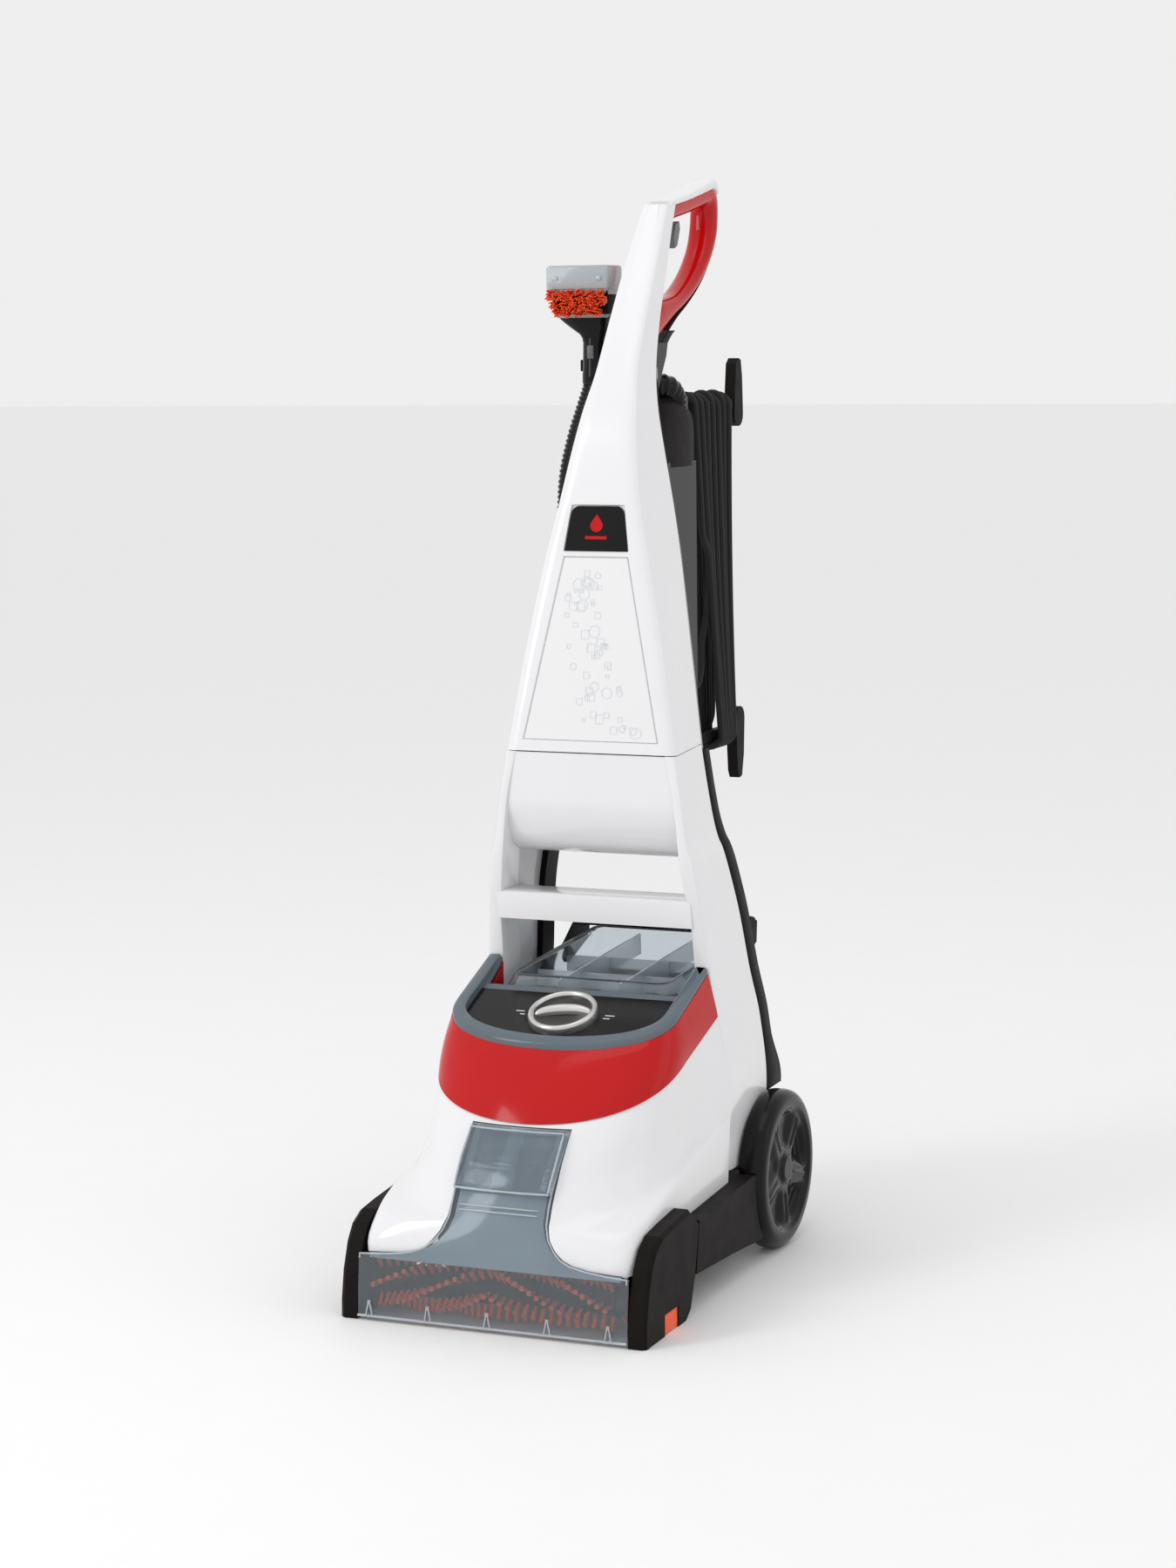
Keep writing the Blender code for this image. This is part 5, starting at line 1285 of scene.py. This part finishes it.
def lid_inside():
    """Partition lines under the lid and the lighter compartment between them."""
    bm = bmesh.new()
    for x in (-0.0330, 0.0330):
        matrix = Matrix.Translation((x, 0.0160, 0.2870)) @ Matrix.Rotation(
            math.atan(0.0125 / 0.242), 4, "X"
        )
        bmesh.ops.create_cube(bm, size=1.0, matrix=matrix @ Matrix.Diagonal((0.0016, 0.2200, 0.0220, 1.0)))
    for y, high in ((-0.0350, 0.0150), (0.0420, 0.0180)):
        matrix = Matrix.Translation((0.0, y, 0.2830))
        bmesh.ops.create_cube(bm, size=1.0, matrix=matrix @ Matrix.Diagonal((0.1640, 0.0016, high, 1.0)))
    fit(mesh_object("lid_partitions", bm), edge_clear(), "tank", "smoke_clear")
    rim = [
        lid_at(0.0052, -0.0004, 0.947), lid_at(0.0064, -0.0010, 0.945), lid_at(0.0074, -0.0004, 0.943),
        lid_at(0.0064, 0.0008, 0.945)
    ]
    fit(wrapped("lid_bead", rim, capped=False, looped=True, sharp=60), dark_smoke(), "tank", "smoke_clear")
    for number, (
        x, y, size
    ) in enumerate(((-0.0620, 0.0700, 0.018), (0.0, 0.0100, 0.022), (0.0560, 0.0600, 0.016))):
        well = block(
            "lid_well_%d" % number, (x - size, y - size, 0.2660), (x + size, y + size, 0.2760), 0.003, 2
        )
        fit(well, edge_clear(), "tank", "smoke_clear")


def clip_highlight_bead():
    """Raised bead round the clip block, in the lighter milky clear as a painted highlight along the block's raised
    sides.
    """
    points = []
    corners = [
        (-0.0485, 0.1318), (-0.0492, 0.1560), (-0.0485, 0.1815), (0.0, 0.1815), (0.0485, 0.1815),
        (0.0492, 0.1560), (0.0485, 0.1318), (0.0, 0.1318)
    ]
    for (xa, za), (xb, zb) in zip(corners, corners[1:] + corners[:1]):
        for k in range(6):
            x, z = mix(xa, xb, k / 6), mix(za, zb, k / 6)
            front = row_at(WINDOW_LINE, z)[1]
            proud = latch_profile(max(0.1335, min(z, 0.1800)))[0]
            points.append(Vector((x, front + CLIP_BOW * x * x - proud - 0.0008, z)))
    # Lighter bead: painted highlight on the clip block's raised sides.
    fit(
        swept("clip_highlight_bead", points + [points[0]], lambda i: 0.0011, 8), edge_clear(), "base",
        "smoke_clear"
    )


def port_saddle():
    """Rounded cover the hose goes into, and the two ribs below it."""
    sections = []
    for y, low, high, half in (
        (0.0560, 0.8020, 0.8360, 0.0120), (0.0600, 0.8000, 0.8460, 0.0160), (
            0.0750, 0.8000, 0.8600, 0.0185
        ),
        (0.0950, 0.8000, 0.8690, 0.0205), (0.1150, 0.8000, 0.8735, 0.0215), (
            0.1350, 0.8000, 0.8755, 0.0215
        ),
        (0.1480, 0.8000, 0.8730, 0.0205), (0.1600, 0.7980, 0.8665, 0.0190), (
            0.1660, 0.7960, 0.8540, 0.0165
        ),
    ):
        ring = [(half, y, low), (half, y, mix(low, high, 0.55))]
        for k in range(1, 12):
            angle = math.pi * k / 12
            ring.append((half * math.cos(angle), y, mix(mix(low, high, 0.55), high, math.sin(angle) ** 0.8)))
        ring += [(-half, y, mix(low, high, 0.55)), (-half, y, low)]
        sections.append(ring)
    fit(wrapped("port_saddle", sections, sharp=45), black(), "handle", "black_plastic", "hose_cuff")
    for side, name in ((-1, "spine_rib_right"), (1, "spine_rib_left")):
        rib = block(
            name, (side * 0.0155 - 0.0016, 0.1400, 0.5300), (side * 0.0155 + 0.0016, 0.1660, 0.7710),
            0.0010, 2
        )
        fit(rib, black(), "handle", "black_plastic")


NECK_BACK = [
    (0.8640, 0.0760), (0.8902, 0.0907), (0.9070, 0.0975), (0.9197, 0.1082), (0.9365, 0.1300),
    (0.9480, 0.1530)
]


def grip_neck():
    """Black neck that runs from the spine's back up into the strip behind the grip."""
    sections = []
    for k in range(22):
        z = mix(0.8660, 0.9405, k / 21)
        back = row_at(NECK_BACK, z)[1]
        front = row_at(SPINE_ROWS, z)[3] - 0.0040
        front = min(front, back - 0.012) + 0.055 * soft_step(z, 0.925, 0.952)
        half = 0.0125
        ring = []
        for m in range(20):
            angle = 2 * math.pi * m / 20
            c, s = math.cos(angle), math.sin(angle)
            across = half * math.copysign(abs(s) ** 0.7, s)
            ring.append((across, mix(front, back, 0.5 + 0.5 * math.copysign(abs(c) ** 0.7, c)), z))
        sections.append(ring)
    fit(wrapped("grip_neck", sections, sharp=45), black(), "handle", "black_plastic")


def release_button():
    button = block(
        "release_button", (TUBE_X - 0.0040, TOOL_Y - 0.0158, 0.9120),
        (TUBE_X + 0.0032, TOOL_Y - 0.0128, 0.9260), 0.0008, 3
    )
    fit(button, grey(), "button", "black_plastic", "tool_button")


def tool_bracket():
    """Half ring behind the tool's tube on an arm from the rear cover."""
    sections = []
    for z in (0.8990, 0.9000, 0.9100, 0.9110):
        grow = 0.0006 if 0.8995 < z < 0.9105 else 0.0
        ring = []
        for k in range(17):
            angle = math.radians(-10 + 190 * k / 16)
            ring.append((TUBE_X + (0.0172 + grow) * math.cos(angle), TOOL_Y + (0.0172 + grow) * math.sin(angle), z))
        for k in reversed(range(17)):
            angle = math.radians(-10 + 190 * k / 16)
            ring.append((TUBE_X + 0.0145 * math.cos(angle), TOOL_Y + 0.0145 * math.sin(angle), z))
        sections.append(ring)
    fit(wrapped("tool_bracket", sections, sharp=40), gloss_black(), "handle", "black_plastic", "tool_clip")
    arm = block("bracket_arm", (-0.0600, 0.1090, 0.8990), (-0.0130, 0.1160, 0.9100), 0.0010, 2)
    fit(arm, black(), "handle", "black_plastic")


def leg_strips():
    """Black strips behind the legs; the wide one continues into the bracket over the wheel."""
    rows = smooth_rows(LEG, 70)
    for side, name in ((1, "leg_strip_left"), (-1, "leg_strip_right")):
        sections = []
        for z, _, _, _, back, rear in rows:
            if not 0.1560 < z < 0.5200:
                continue
            deep = mix(
                0.0300, 0.0240, soft_step(z, 0.40, 0.46)
            ) + 0.0200 * (1 - soft_step(z, 0.1650, 0.2200))
            ring = [
                (rear - 0.0100, back), (rear - 0.0004, back), (rear + 0.0006, back + 0.0020),
                (rear - 0.0006, back + deep - 0.003), (rear - 0.0025, back + deep),
                (rear - 0.0100, back + deep)
            ]
            sections.append([(side * x, y, z) for x, y in ring])
        strip = wrapped(name, sections, sharp=35)
        fit(strip, black(), "handle", "black_plastic", "rear_leg_left" if side > 0 else "rear_leg_right")


# ---- pieces kept from the frame -----------------------------------------
KEPT = {
    "axle": (steel, 0.0006), "base_tray": (black, 0.0015), "brush_core": (black, 0.0004),
    "brush_motor": (steel, 0.0008), "cord_gland": (rubber, 0.0005), "cord_plug": (rubber, 0.0012),
    "drive_belt": (rubber, 0.0), "edge_brush_left": (bristle, 0.0003), "edge_brush_right": (
        bristle, 0.0003
    ),
    "end_cap_left": (black, 0.0020), "end_cap_right": (black, 0.0020), "hook_lower": (black, 0.0016),
    "hook_upper": (black, 0.0016), "motor_pulley": (steel, 0.0003), "power_pedal": (red, 0.0014),
    "rear_cover": (
        gloss_black, 0.0020
    ), "recline_pedal": (grey, 0.0014), "side_rail_left": (black, 0.0020), "side_rail_right": (black, 0.0020),
    "tank_bladder": (smoke, 0.0), "tank_handle": (black, 0.0010),
    "tank_shell": (
        smoke, 0.0010
    ), "trigger": (grey, 0.0010), "vacuum_motor": (grey, 0.0010), "water_pump": (grey, 0.0010),
}


def keep_nodes():
    for name, (finish, width) in KEPT.items():
        node = NODES[name]
        node.data.materials.clear()
        node.data.materials.append(finish())
        if width:
            soften(node, width)


set_camera()
set_studio()
build_cord()
spine_shell()
spine_inlays()
panel_motif()
badge_mark()
lower_shell()
loop_grip()
hood_shell()
coloured_band()
control_deck()
selector()
window_shell()
window_trim()
clip_block()
neck_duct()
brush_tufts()
wheel_shell("wheel_shell_left", 1, "wheel_l")
wheel_shell("wheel_shell_right", -1, "wheel_r")
hand_tool()
tool_tufts()
hose_skin()
lid_shell()
lid_inside()
clip_highlight_bead()
leg_strips()
port_saddle()
grip_neck()
release_button()
tool_bracket()
deck_marks()
keep_nodes()
